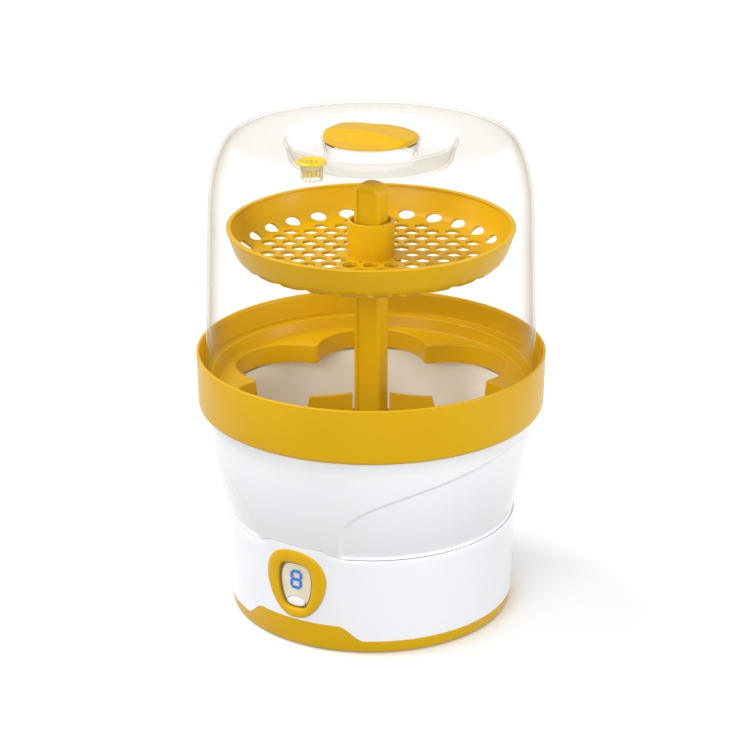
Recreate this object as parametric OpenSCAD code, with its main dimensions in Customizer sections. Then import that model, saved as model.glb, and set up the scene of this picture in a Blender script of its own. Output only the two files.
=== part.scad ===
/* [Base] */
// Radius of the yellow foot where it meets the worktop
foot_r = 97; // [95:0.5:98]
// Radius of the white skirt at its seam with the bowl
skirt_top_r = 99.8; // [99:0.2:101]
// Height of the seam between the skirt and the bowl
seam_z = 69.5; // [66:0.5:71]
// Largest radius of the white bowl
bowl_r = 111; // [110.5:0.1:111.5]
// Height at which the bowl is widest
bulge_z = 136; // [134:0.5:137]
// Radius of the arc that the bowl's side follows
bowl_arc_r = 180; // [170:1:200]
// Height of the bowl's upper rim
rim_z = 145; // [144.8:0.1:145.2]
// Wall thickness of the casing shells
shell_t = 2.4; // [2:0.1:2.6]
// Height of the foot's plain upper edge
trim_z = 9.8; // [9:0.1:11]
// Height of the foot's upper edge under the display
hump_z = 20; // [17:0.5:21]

/* [Water tank and heater] */
// Inner radius of the tank at its flange
tank_r = 101.5; // [100:0.5:102]
// Height of the tank floor beside the heating plate
tank_floor_z = 88; // [87:0.5:89]
// Radius of the tank opening over the heating plate
plate_opening_r = 46; // [44:0.5:47]
// Radius of the heating plate
plate_r = 50.5; // [50:0.5:51]
// Radius of the heating element's ring
element_r = 33; // [30:0.5:35]
// Radius of the heating element's tube
element_tube_r = 3.2; // [3:0.1:3.4]

/* [Bottle rack] */
// Outer radius of the rack's band
band_r = 118; // [117:0.5:120]
// Height of the band's upper lip
band_top_z = 183.4; // [182:0.2:186]
// Height of the band's lower edge
band_z = 145.5; // [145.3:0.1:146]
// Number of bottle bays
bay_count = 6; // [6:1:6]
// Radius of the circle on which the bays lie
bay_centre_r = 63.5; // [63:0.5:64]
// Radius of one bay
bay_r = 37.5; // [37:0.1:38]

/* [Stand and tray] */
// Width of the centre post, side to side
post_w = 20; // [19:0.5:20.5]
// Depth of the centre post, front to back
post_d = 14; // [13:0.5:14.5]
// Height of the post's top
post_top_z = 299.4; // [297:0.2:302]
// Outer radius of the tray's rim
tray_r = 96.5; // [94:0.5:98]
// Height of the tray's rim
tray_rim_z = 270; // [268:0.5:272]
// Height of the tray's floor
tray_floor_z = 249.8; // [249:0.1:251]
// Distance between neighbouring drain holes
hole_pitch = 13.8; // [13:0.1:15]
// Radius of a drain hole
hole_r = 4.6; // [4:0.1:5]

/* [Dome] */
// Height of the dome's flat top
dome_top_z = 331; // [329:0.5:332]
// Thickness of the dome's wall
dome_t = 2; // [1.6:0.1:2.4]
// Radius of the dome's lower edge
dome_edge_r = 113.2; // [112.6:0.1:113.6]
// Radius of the finger well's rim
well_r = 56.7; // [55:0.1:58]
// Depth of the finger well
well_depth = 14; // [12:0.5:15]
// Radius of the hub's rim around the grip
hub_r = 33.7; // [33:0.1:34.5]
// Distance of the steam vent from the centre
vent_y = 74; // [72:0.5:75]

/* [Display] */
// Half the width of the display surround
bezel_half_w = 22.3; // [21:0.1:24]
// Half the height of the display surround
bezel_half_h = 24.5; // [23:0.1:25]
// Height of the middle of the display surround
bezel_mid_z = 47; // [46:0.5:48]
// Width of the oval button
button_w = 14; // [12:0.5:15]
// Height of the oval button
button_h = 6; // [5.5:0.5:7]
// Height of the middle of the button
button_z = 33.4; // [33:0.1:35]

/* [Hidden] */
$fn = 96;
// Overlap that makes a cut pass cleanly through a face
eps = 0.5;
// Seam left between two shells that meet
seam_gap = 0.25;
yellow = "#E0AE26";
white = "#F4F5F8";
cream = "#E3DDCF";
steel = "#C8CACC";
black = "#26272A";
green = "#2F6B3F";

// Base
cover_z = 1;
cover_t = 2.4;
foot_top_r = 98.1;
foot_recess_t = 1.2;
rubber_foot_r = 8;
feet_ring_r = 82;
case_ring_r = 84;
case_post_r = 4.2;
case_post_z = 9.2;
case_post_top = 40;
body_ring_r = 88;
screw_shank_r = 1.5;
screw_bore_r = 1.65;
screw_head_r = 3.2;
screw_head_t = 2;
ledge_in_r = 83;
hump_half_x = 46;
hump_flat_x = 30;
hood_z = 75;
hood_half_x = 34;
hood_flat_x = 16;
hood_r = 101.4;
inlet_z = 24;
inlet_r = 3.2;
gland_neck_r = 6;

// Tank and heater
tank_t = 2.2;
flange_z = 141;
collar_z = 84.2;
plate_t = 1.6;
plate_z = 80.6;
clamp_t = 2.2;
clamp_ring_r = 60;
clamp_boss_r = 4.2;
stud_y = 22;
stud_r = 2;
strap_z = 70.6;
strap_t = 1.4;
shield_z = 57;
shield_r = 54;
shield_t = 1;
tab_z = plate_z - clamp_t - shield_t - 0.2;

// Boards
board_t = 1.6;
board_z = 16;
board_w = 96;
board_d = 64;
board_y = 8;
board_hole_x = board_w / 2 - 5;
board_hole_y = board_d / 2 - 5;
panel_y = -88;
panel_w = 44;
panel_h = 42;
panel_z = 24;
panel_hole_x = 18.5;
panel_hole_z = 17.5;
panel_mid_z = panel_z + panel_h / 2;

// Rack
ledge_z = 167.2;
ledge_r = 106.2;
rack_floor_z = 158.4;
rack_t = 2.2;
sleeve_z = 145;
corner_r = 7;
corner_steps = 8;

// Dome
shoulder_w = 19;
shoulder_h = 58;
shoulder_steps = 16;
dome_wall_r = 108.8;
dome_z = 167.6;
well_z = dome_top_z - well_depth;
hub_top_z = dome_top_z - 2;
hub_plate_t = 2;
grip_z = hub_top_z + 0.4;
grip_disc_r = 31.7;
grip_disc_t = 1.4;
grip_top_z = 336.6;
grip_arc_r = 130;
grip_half_l = 30;
vent_r = 7.6;
vent_cap_r = 9.75;

// Window
window_y = -98;
window_t = 1.4;
window_half_w = 12.8;
window_half_h = 16.5;
window_mid_z = 45.6;
window_lean = 0.1;
window_power = 0.5;
bezel_r = 101.2;
digit_mid_z = 49.4;
digit_w = 9.2;
digit_h = 13.8;
segment_t = 1.7;

// Radius of the skirt's outer face at a height
function skirt_r(z) = foot_top_r + (skirt_top_r - foot_top_r) * (z - trim_z) / (seam_z - trim_z);

// Radius of the bowl's outer face at a height up to its widest place
function bowl_side_r(z) = bowl_r - bowl_arc_r + sqrt(pow(bowl_arc_r, 2) - pow(bulge_z - z, 2));

// Smooth step from 0 to 1
function ease(u) = u * u * (3 - 2 * u);

// Height of a flat-topped mound that runs out smoothly on both sides
function mound(x, flat, reach) = abs(x) <= flat ? 1 : ease((reach - abs(x)) / (reach - flat));

// Points of a rounded rectangle about the origin
function rounded(w, d, r, steps = 5) = [
    for (corner = [0 : 3])
        for (i = [0 : steps])
            let (
                turn = corner * 90 + i * 90 / steps,
                sx = (corner == 0 || corner == 3) ? 1 : -1,
                sy = corner < 2 ? 1 : -1
            )
            [sx * (w / 2 - r) + r * cos(turn), sy * (d / 2 - r) + r * sin(turn)]
];

// Points of an upright egg: lean lifts its widest place, and a low power fills its corners
function egg(half_w, half_h, mid_z, lean = 0.17, power = 0.9, steps = 36) = [
    for (i = [0 : steps - 1])
        let (
            turn = (i + 0.5) * 360 / steps,
            side = cos(turn) < 0 ? -1 : 1
        )
        [side * half_w * pow(abs(cos(turn)), power) * (1 + lean * sin(turn)), mid_z + half_h * sin(turn)]
];

// Outer face of the dome's shoulder, drawn in by a wall thickness
function shoulder(inset) = [
    for (i = [0 : shoulder_steps])
        let (turn = i * 90 / shoulder_steps)
        [
            dome_wall_r - shoulder_w + (shoulder_w - inset) * cos(turn),
            dome_top_z - shoulder_h + (shoulder_h - inset) * sin(turn)
        ]
];

function reversed(list) = [for (i = [len(list) - 1 : -1 : 0]) list[i]];

// Copies of a child at evenly spaced places on a circle
module around(count, r, start = 0) {
    for (i = [0 : count - 1])
        rotate([0, 0, start + i * 360 / count])
            translate([r, 0, 0])
                children();
}

module disc(r, z0, z1) {
    translate([0, 0, z0])
        cylinder(r = r, h = z1 - z0);
}

module tube(r_out, r_in, z0, z1) {
    difference() {
        disc(r_out, z0, z1);
        disc(r_in, z0 - eps, z1 + eps);
    }
}

// A prism of an upright outline, pushed from one depth to another along Y
module upright(points, y0, y1) {
    translate([0, y1, 0])
        rotate([90, 0, 0])
            linear_extrude(height = y1 - y0)
                polygon(points);
}

// A cylinder along Y
module rod_y(x, z, r, y0, y1) {
    translate([x, y1, z])
        rotate([90, 0, 0])
            cylinder(r = r, h = y1 - y0);
}

// The foot's wavy upper edge as a solid that fills everything below it
module below_wave(lift) {
    steps = 24;
    top = [
        for (i = [0 : steps])
            let (x = -hump_half_x + i * 2 * hump_half_x / steps)
            [x, trim_z + lift + (hump_z - trim_z) * mound(x, hump_flat_x, hump_half_x)]
    ];
    disc(foot_r + 10, -eps, trim_z + lift);
    upright(concat([[-hump_half_x, 0]], top, [[hump_half_x, 0]]), -foot_r - 10, -foot_r / 2);
}

// The hood's outline over the display, as a solid that reaches down below the seam
module below_hood(lift) {
    steps = 20;
    top = [
        for (i = [0 : steps])
            let (x = -hood_half_x + i * 2 * hood_half_x / steps)
            [x, seam_z + lift + (hood_z - seam_z) * mound(x, hood_flat_x, hood_half_x)]
    ];
    upright(concat([[-hood_half_x, seam_z - 8]], top, [[hood_half_x, seam_z - 8]]), -bowl_r, -bowl_r / 2);
}

// The skirt's wall from the foot to the seam, before its edges are cut
module skirt_wall(z0, z1) {
    rotate_extrude()
        polygon([
            [skirt_r(z0) - shell_t, z0],
            [skirt_r(z0), z0],
            [skirt_r(z1), z1],
            [skirt_r(z1) - shell_t, z1]
        ]);
}

module bottom_cover() {
    color(yellow)
        difference() {
            union() {
                intersection() {
                    rotate_extrude()
                        polygon([
                            [foot_r - shell_t - 1, cover_z],
                            [foot_r - 1, cover_z],
                            [foot_r - 0.3, cover_z + 0.6],
                            [foot_r, cover_z + 1.6],
                            [skirt_r(hump_z + 1), hump_z + 1],
                            [skirt_r(hump_z + 1) - shell_t, hump_z + 1]
                        ]);
                    below_wave(0);
                }
                disc(foot_r - shell_t, cover_z, cover_z + cover_t);
                around(4, case_ring_r, 45)
                    disc(case_post_r + 1.2, cover_z, case_post_z - seam_gap);
                for (x = [-board_hole_x, board_hole_x])
                    for (y = [-board_hole_y, board_hole_y])
                        translate([x, board_y + y, 0])
                            disc(3.4, cover_z, board_z - 0.1);
            }
            // Recesses for the rubber feet
            around(4, feet_ring_r, 0)
                disc(rubber_foot_r + 0.3, 0, cover_z + foot_recess_t);
            // Counterbored holes for the case screws
            around(4, case_ring_r, 45) {
                disc(screw_head_r + 0.4, 0, cover_z + 5);
                disc(screw_bore_r, 0, case_post_z + eps);
            }
            // Blind holes for the board screws
            for (x = [-board_hole_x, board_hole_x])
                for (y = [-board_hole_y, board_hole_y])
                    translate([x, board_y + y, 0])
                        disc(screw_bore_r - 0.3, cover_z + cover_t, board_z + eps);
            // Rows of cooling slots
            for (side = [-1, 1])
                for (i = [0 : 6])
                    translate([side * 68 - 9, -24 + i * 8, 0])
                        cube([18, 3, cover_z + cover_t + eps]);
        }
}

module rubber_feet() {
    color(black)
        around(4, feet_ring_r, 0) {
            disc(rubber_foot_r, 0.6, cover_z + foot_recess_t - 0.05);
            disc(rubber_foot_r - 0.6, 0, 0.7);
        }
}

module lower_shell() {
    color(white)
        difference() {
            union() {
                difference() {
                    skirt_wall(4, seam_z);
                    below_wave(seam_gap);
                }
                // Hood that rises over the display
                difference() {
                    intersection() {
                        rotate_extrude()
                            polygon([
                                [skirt_top_r - shell_t, seam_z - 3],
                                [skirt_top_r - 0.2, seam_z - 3],
                                [hood_r, hood_z - 1],
                                [hood_r, hood_z + 1],
                                [hood_r - 1.4, hood_z + 1],
                                [skirt_top_r - shell_t, seam_z - 1]
                            ]);
                        below_hood(0);
                    }
                    upright(egg(bezel_half_w + 0.3, bezel_half_h + 0.3, bezel_mid_z), -bowl_r, -97.2);
                }
                // Inner ledge that carries the bowl
                tube(skirt_top_r - 1.2, ledge_in_r, seam_z - 2.2, seam_z);
                // Posts for the case screws, each tied to the wall
                around(4, case_ring_r, 45) {
                    disc(case_post_r, case_post_z, case_post_top);
                    translate([0, -1, trim_z + 1])
                        cube([12.5, 2, case_post_top - trim_z - 1]);
                }
                // Bosses that carry the display board
                for (x = [-panel_hole_x, panel_hole_x])
                    for (z = [-panel_hole_z, panel_hole_z])
                        rod_y(x, panel_mid_z + z, 2.8, -96.4, panel_y - board_t - 0.1);
            }
            around(4, case_ring_r, 45)
                disc(screw_bore_r, case_post_z - eps, case_post_top - 8);
            around(4, body_ring_r, 22.5)
                disc(screw_bore_r, seam_z - 5, seam_z + eps);
            for (x = [-panel_hole_x, panel_hole_x])
                for (z = [-panel_hole_z, panel_hole_z])
                    rod_y(x, panel_mid_z + z, 1.2, -95, panel_y);
            // Opening behind the display surround
            upright(egg(window_half_w + 2.2, window_half_h + 2.2, window_mid_z, window_lean, window_power), -110, -80);
            // Round opening for the cord inlet
            rod_y(0, inlet_z, gland_neck_r + 0.2, 90, 106);
        }
}

// Outline of the bowl's wall, from the seam to the rim
module bowl_profile() {
    steps = 12;
    side = [
        for (i = [0 : steps])
            let (z = seam_z + seam_gap + i * (bulge_z - seam_z - seam_gap) / steps)
            [bowl_side_r(z), z]
    ];
    inner = [for (p = reversed(side)) [p[0] - shell_t, p[1]]];
    rim = [
        [bowl_r + 1.5, rim_z - 1],
        [bowl_r + 1.1, rim_z],
        [bowl_r - 0.4, rim_z],
        [bowl_r - 0.8, rim_z - 1]
    ];
    polygon(concat(side, rim, inner));
}

module upper_shell() {
    color(white)
        difference() {
            union() {
                rotate_extrude()
                    bowl_profile();
                // Flange that sits on the skirt's ledge
                tube(skirt_top_r - 1.6, ledge_in_r, seam_z + seam_gap, seam_z + 2.6);
                // Shoulder that carries the tank's flange
                rotate_extrude()
                    polygon([
                        [103.6, flange_z - 0.1],
                        [103.6, flange_z - 2],
                        [109, flange_z - 6],
                        [109.8, flange_z - 0.1]
                    ]);
                around(4, body_ring_r, 22.5) {
                    disc(4, seam_z + 1, seam_z + 13);
                    translate([0, -1, seam_z + 1])
                        cube([10, 2, 9]);
                }
            }
            around(4, body_ring_r, 22.5)
                disc(screw_bore_r, seam_z - eps, seam_z + 10);
            below_hood(seam_gap);
        }
}

module water_tank() {
    rise = 1;
    color(cream)
        difference() {
            union() {
                rotate_extrude()
                    polygon([
                        [plate_opening_r, collar_z],
                        [plate_opening_r, tank_floor_z],
                        [84, tank_floor_z + rise],
                        [90.5, tank_floor_z + 3],
                        [94.8, tank_floor_z + 7.4],
                        [96.6, tank_floor_z + 13],
                        [tank_r, flange_z + 2.4],
                        [108.4, flange_z + 2.4],
                        [108.4, flange_z],
                        [tank_r + tank_t - 0.2, flange_z],
                        [96.6 + tank_t, tank_floor_z + 12.6],
                        [96.9, tank_floor_z + 6.4],
                        [91.8, tank_floor_z + 1.2],
                        [84.4, tank_floor_z + rise - tank_t],
                        [plate_opening_r + 4.5, tank_floor_z - tank_t],
                        [plate_opening_r + 4.5, collar_z]
                    ]);
                around(4, clamp_ring_r, 45)
                    disc(clamp_boss_r, plate_z - 0.1, tank_floor_z - 1);
            }
            around(4, clamp_ring_r, 45)
                disc(screw_bore_r, plate_z - 1, tank_floor_z - 2);
        }
}

module plate_seal() {
    color("#D8D4CC")
        tube(plate_r - 0.2, plate_opening_r + 0.3, plate_z + plate_t + 0.05, collar_z - 0.05);
}

module heating_plate() {
    color(steel) {
        disc(plate_r, plate_z, plate_z + plate_t);
        // Pressed bead that stiffens the plate
        tube(plate_opening_r - 4, plate_opening_r - 8, plate_z + plate_t - 0.2, plate_z + plate_t + 0.6);
        for (y = [-stud_y, stud_y])
            translate([0, y, 0])
                disc(stud_r, strap_z - 5, plate_z + 0.2);
    }
}

module plate_clamp() {
    color(steel)
        difference() {
            union() {
                tube(plate_r + 3, plate_opening_r + 1.5, plate_z - clamp_t - 0.1, plate_z - 0.1);
                around(4, clamp_ring_r, 45)
                    disc(6, plate_z - clamp_t - 0.1, plate_z - 0.15);
                around(4, clamp_ring_r - 7, 45)
                    translate([-2, -6, plate_z - clamp_t - 0.1])
                        cube([9, 12, clamp_t - 0.05]);
            }
            around(4, clamp_ring_r, 45)
                disc(screw_bore_r + 0.2, plate_z - clamp_t - 1, plate_z + 1);
        }
}

// A pan-headed screw standing on its head, with its head's underside at z
module screw(z, length) {
    disc(screw_head_r, z - screw_head_t, z);
    disc(screw_shank_r, z - eps, z + length);
}

module clamp_screws() {
    color(steel)
        around(4, clamp_ring_r, 45)
            screw(tab_z - 0.05, 8.6);
}

module heating_element() {
    gap_angle = 50;
    color("#8D8F92") {
        rotate([0, 0, 90 + gap_angle / 2])
            rotate_extrude(angle = 360 - gap_angle)
                translate([element_r, plate_z - element_tube_r - 0.2])
                    circle(r = element_tube_r, $fn = 32);
        for (side = [-1, 1])
            rotate([0, 0, 90 + side * gap_angle / 2])
                translate([element_r, 0, 0]) {
                    disc(element_tube_r + 0.4, shield_z + 7, plate_z - 0.6);
                    translate([-3, -0.4, shield_z + 3])
                        cube([6, 0.8, 6]);
                }
    }
}

module sensor_bracket() {
    color(steel)
        difference() {
            translate([-5, -stud_y - 5, strap_z])
                cube([10, 2 * stud_y + 10, strap_t]);
            for (y = [-stud_y, stud_y])
                translate([0, y, 0])
                    disc(stud_r + 0.2, strap_z - 1, strap_z + strap_t + 1);
            translate([0, 9, 0])
                disc(3.6, strap_z - 1, strap_z + strap_t + 1);
        }
}

module bracket_nuts() {
    color(steel)
        for (y = [-stud_y, stud_y])
            translate([0, y, strap_z - 3.1])
                difference() {
                    cylinder(r = 4.2, h = 3, $fn = 6);
                    translate([0, 0, -1])
                        cylinder(r = stud_r + 0.1, h = 5);
                }
}

module thermostat() {
    color("#3A3A3C")
        translate([0, -8.5, 0]) {
            disc(8, strap_z + strap_t + 0.1, plate_z - 1.4);
            disc(8.8, plate_z - 1.5, plate_z - 0.15);
        }
}

module temperature_sensor() {
    color("#B98B4A")
        translate([0, 9, 0]) {
            disc(3.2, strap_z - 4, plate_z - 0.15);
            disc(4.6, strap_z + strap_t + 0.1, strap_z + strap_t + 2);
        }
}

module thermal_fuse() {
    color("#E8E2D0")
        translate([17, 0, plate_z - 3.4]) {
            rod_y(0, 0, 3, -9, 9);
            rod_y(0, 0, 0.8, -14, 14);
        }
}

module heat_shield() {
    color(steel)
        difference() {
            union() {
                rotate_extrude()
                    polygon([
                        [0, shield_z],
                        [shield_r - 2, shield_z],
                        [shield_r, shield_z + 2],
                        [shield_r, shield_z + 8],
                        [shield_r - shield_t, shield_z + 8],
                        [shield_r - shield_t, shield_z + 2.4],
                        [shield_r - 2.4, shield_z + shield_t],
                        [0, shield_z + shield_t]
                    ]);
                around(4, shield_r, 45) {
                    translate([-shield_t, -5, shield_z + 6])
                        cube([shield_t, 10, tab_z + shield_t - shield_z - 6]);
                    translate([-shield_t, -5, tab_z])
                        cube([12, 10, shield_t]);
                }
            }
            around(4, clamp_ring_r, 45)
                disc(screw_bore_r + 0.2, tab_z - 1, tab_z + 3);
            around(6, 30, 0)
                disc(4, shield_z - 1, shield_z + 3);
        }
}

module case_screws() {
    color(steel)
        around(4, case_ring_r, 45)
            screw(cover_z + 5 - 0.05, 24);
}

module body_screws() {
    color(steel)
        around(4, body_ring_r, 22.5)
            screw(seam_z - 2.25, 11);
}

module board_screws() {
    color(steel)
        for (x = [-board_hole_x, board_hole_x])
            for (y = [-board_hole_y, board_hole_y])
                translate([x, board_y + y, board_z + board_t + 0.05])
                    mirror([0, 0, 1]) {
                        disc(2.6, -1.6, 0);
                        disc(1.2, -0.1, 9);
                    }
}

module control_board() {
    color(green)
        difference() {
            translate([-board_w / 2, board_y - board_d / 2, board_z])
                cube([board_w, board_d, board_t]);
            for (x = [-board_hole_x, board_hole_x])
                for (y = [-board_hole_y, board_hole_y])
                    translate([x, board_y + y, 0])
                        disc(1.5, board_z - 1, board_z + board_t + 1);
        }
}

// A block that stands on the control board
module board_block(x, y, w, d, h) {
    translate([x - w / 2, board_y + y - d / 2, board_z + board_t + 0.05])
        cube([w, d, h]);
}

module relay() {
    color("#2B4C8C")
        board_block(-26, 8, 19, 15.5, 15.4);
}

module transformer() {
    color("#C9A227") {
        board_block(16, -12, 30, 12, 24);
        board_block(16, -12, 20, 24, 17);
    }
}

module capacitor() {
    color("#2A2A2E")
        translate([-8, board_y - 16, 0])
            disc(6.2, board_z + board_t + 0.05, board_z + 20);
}

module terminal_block() {
    color("#4E7F4A")
        difference() {
            board_block(16, 22, 30, 12, 13);
            for (i = [0 : 2])
                rod_y(6 + i * 10, board_z + 8, 2.2, board_y + 20, board_y + 30);
        }
}

module display_board() {
    color(green)
        difference() {
            translate([-panel_w / 2, panel_y - board_t, panel_z])
                cube([panel_w, board_t, panel_h]);
            for (x = [-panel_hole_x, panel_hole_x])
                for (z = [-panel_hole_z, panel_hole_z])
                    rod_y(x, panel_mid_z + z, 1.5, panel_y - 3, panel_y + 1);
        }
}

module display_screws() {
    color(steel)
        for (x = [-panel_hole_x, panel_hole_x])
            for (z = [-panel_hole_z, panel_hole_z]) {
                rod_y(x, panel_mid_z + z, 2.6, panel_y + 0.05, panel_y + 1.7);
                rod_y(x, panel_mid_z + z, 1.1, panel_y - 6.4, panel_y + 0.1);
            }
}

module digit_display() {
    color("#E9E6DF")
        translate([-6.3, window_y + window_t + 0.1, digit_mid_z - 9.5])
            cube([12.6, panel_y - board_t - window_y - window_t - 0.15, 19]);
}

// One upright or level bar of the readout
module bar(x, z, w, h) {
    translate([x - w / 2, window_y - 0.3, digit_mid_z + z - h / 2])
        cube([w, 0.25, h]);
}

module digit_segments() {
    side_x = digit_w / 2 - segment_t / 2;
    side_h = digit_h / 2 - segment_t - 0.6;
    color("#2B8BEA") {
        for (z = [-1, 0, 1])
            bar(0, z * (digit_h - segment_t) / 2, digit_w - 2 * segment_t - 0.5, segment_t);
        for (x = [-side_x, side_x])
            for (z = [-1, 1])
                bar(x, z * (digit_h - segment_t) / 4, segment_t, side_h + 1);
    }
}

module display_window() {
    color(cream)
        difference() {
            upright(egg(window_half_w - 0.2, window_half_h - 0.2, window_mid_z, window_lean, window_power), window_y, window_y + window_t);
            translate([0, 0, button_z])
                upright(rounded(button_w + 1, button_h + 1, button_h / 2), window_y - 1, window_y + 3);
        }
}

module display_bezel() {
    color(yellow)
        difference() {
            union() {
                intersection() {
                    upright(egg(bezel_half_w, bezel_half_h, bezel_mid_z), -bowl_r, -60);
                    rotate_extrude()
                        polygon([
                            [skirt_r(20) + 0.15, 20],
                            [bezel_r, 20],
                            [bezel_r + 0.8, 74],
                            [skirt_r(74) + 0.15, 74]
                        ]);
                }
                intersection() {
                    upright(egg(window_half_w + 1.8, window_half_h + 1.8, window_mid_z, window_lean, window_power), -bowl_r, -94);
                    disc(bezel_r - 0.4, 20, 74);
                }
            }
            upright(egg(window_half_w, window_half_h, window_mid_z, window_lean, window_power), -120, -80);
        }
}

module start_button() {
    face_y = window_y - 1;
    color("#EDEEF2") {
        translate([0, 0, button_z]) {
            upright(rounded(button_w, button_h, button_h / 2 - 0.1), face_y, window_y + window_t + 0.3);
            upright(rounded(button_w - 1.2, button_h - 1.2, button_h / 2 - 0.7), face_y - 0.4, face_y + 0.1);
        }
        rod_y(0, button_z, 2.2, window_y + window_t, panel_y - board_t - 4.4);
    }
}

module button_switch() {
    color(black) {
        translate([-3, panel_y - board_t - 2.5, button_z - 3])
            cube([6, 2.45, 6]);
        rod_y(0, button_z, 1.6, panel_y - board_t - 3.1, panel_y - board_t - 2.4);
    }
}

module cord_gland() {
    color(black)
        difference() {
            union() {
                rod_y(0, inlet_z, gland_neck_r, 92.4, 100);
                rod_y(0, inlet_z, gland_neck_r + 2, 91.6, 94.6);
                rod_y(0, inlet_z, gland_neck_r + 2, 99, 101.4);
                rod_y(0, inlet_z, gland_neck_r - 0.6, 101, 109);
            }
            rod_y(0, inlet_z, inlet_r, 90, 112);
        }
}

// The bays and the open middle as one solid, grown sideways by an amount
module bays(grow, z0, z1) {
    disc(bay_centre_r + 12.7 + grow, z0, z1);
    around(bay_count, bay_centre_r, 0)
        disc(bay_r + grow, z0, z1);
}

module bottle_rack() {
    outer_corner = [
        for (i = [0 : corner_steps])
            let (turn = -90 + i * 90 / corner_steps)
            [band_r - corner_r + corner_r * cos(turn), band_z + corner_r + corner_r * sin(turn)]
    ];
    inner_r = corner_r - 2.6;
    inner_corner = [
        for (i = [corner_steps : -1 : 0])
            let (turn = -90 + i * 90 / corner_steps)
            [band_r - corner_r + inner_r * cos(turn), band_z + corner_r + inner_r * sin(turn)]
    ];
    color(yellow)
        difference() {
            union() {
                // Band with its rounded lower corner
                rotate_extrude()
                    polygon(concat(
                        outer_corner,
                        [
                            [band_r + 0.3, band_top_z - 0.8],
                            [band_r - 0.1, band_top_z],
                            [band_r - 1.5, band_top_z],
                            [band_r - 2, band_top_z - 1],
                            [band_r - 2.6, ledge_z - 1]
                        ],
                        inner_corner
                    ));
                // Ledge under the dome, and the step down to the rack's floor
                tube(band_r - 2, ledge_r, ledge_z - rack_t, ledge_z);
                tube(ledge_r + 1.8, ledge_r, rack_floor_z - rack_t, ledge_z - 1);
                tube(ledge_r + 1, 70, rack_floor_z - rack_t, rack_floor_z);
                // Skirt that centres the rack in the bowl's rim
                tube(ledge_r + 3.4, ledge_r + 1.4, rim_z - 0.6, ledge_z - 1);
                bays(2, sleeve_z, rack_floor_z - 0.3);
            }
            bays(0, sleeve_z - eps, rack_floor_z + 3);
        }
}

module centre_post() {
    top_r = 7.5;
    side = concat(
        [[-post_w / 2, 97.5], [post_w / 2, 97.5]],
        [for (i = [0 : 6]) [post_w / 2 - top_r + top_r * cos(i * 15), post_top_z - top_r + top_r * sin(i * 15)]],
        [for (i = [6 : -1 : 0]) [-post_w / 2 + top_r - top_r * cos(i * 15), post_top_z - top_r + top_r * sin(i * 15)]]
    );
    color(yellow)
        difference() {
            union() {
                intersection() {
                    upright(side, -post_d / 2, post_d / 2);
                    translate([0, 0, 97])
                        linear_extrude(height = post_top_z)
                            polygon(rounded(post_w, post_d, 2.4));
                }
                // Scalloped flange that the tray rests on
                disc(17, 241.5, 247.1);
                around(6, 15.5, 30)
                    disc(7, 243.5, 247.1);
            }
            translate([0, 0, 97])
                linear_extrude(height = 196)
                    polygon(rounded(post_w - 4.4, post_d - 5.4, 1.4));
            // Shallow panels in the front and back faces
            for (side_y = [-1, 1])
                translate([-post_w / 2 + 3.6, side_y * post_d / 2 - 1, 100])
                    cube([post_w - 7.2, 2, 138]);
            for (side_y = [-1, 1])
                translate([-post_w / 2 + 3.6, side_y * post_d / 2 - 1, 252])
                    cube([post_w - 7.2, 2, post_top_z - 252 - 4]);
        }
}

module stand_foot() {
    fin_t = 3;
    bottom = tank_floor_z + 1.4;
    fin = [
        [10, bottom],
        [54, bottom],
        [54, bottom + 4],
        [42.5, 144],
        [41.6, 146.8],
        [28, 147.4],
        [12.6, 149.4],
        [12.6, 137],
        [10, 137]
    ];
    color(yellow)
        difference() {
            union() {
                translate([0, 0, bottom])
                    linear_extrude(height = 47)
                        polygon(rounded(post_w + 5, post_d + 5, 4));
                for (turn = [30, 210])
                    rotate([0, 0, turn])
                        upright(fin, -fin_t / 2, fin_t / 2);
                for (turn = [120, 300])
                    rotate([0, 0, turn])
                        translate([8, -fin_t / 2, bottom])
                            cube([46, fin_t, 6]);
                tube(56, 49, bottom, bottom + 3);
            }
            translate([0, 0, bottom + 7.5])
                linear_extrude(height = 60)
                    polygon(rounded(post_w + 0.3, post_d + 0.3, 2.4));
        }
}

module accessory_tray() {
    rows = 7;
    lift = 2.2;
    color(yellow)
        difference() {
            union() {
                rotate_extrude()
                    polygon([
                        [13.2, tray_floor_z - lift],
                        [84, tray_floor_z - lift],
                        [87.4, tray_floor_z - 0.9],
                        [90.8, tray_floor_z + 2.8],
                        [93.6, tray_floor_z + 8.4],
                        [95.4, tray_rim_z - 1.6],
                        [tray_r, tray_rim_z - 1.2],
                        [tray_r, tray_rim_z],
                        [93.4, tray_rim_z],
                        [91.4, tray_floor_z + 9.2],
                        [88.8, tray_floor_z + 4.2],
                        [85.8, tray_floor_z + 1],
                        [83.4, tray_floor_z],
                        [13.2, tray_floor_z]
                    ]);
                tube(15.7, 13.2, tray_floor_z - lift, 273.6);
            }
            // Staggered rows of drain holes
            for (i = [-rows : rows])
                for (j = [-rows : rows])
                    let (
                        x = i * hole_pitch * cos(30),
                        y = i * hole_pitch * sin(30) + j * hole_pitch,
                        reach = norm([x, y])
                    )
                    if (reach > 22 && reach < 77)
                        translate([x, y, 0])
                            disc(hole_r, tray_floor_z - 4, tray_floor_z + 3);
            // Ring of holes that climb the dished edge
            around(26, 86, 0)
                disc(hole_r - 0.6, tray_floor_z - 4, tray_floor_z + 9);
        }
}

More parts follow.
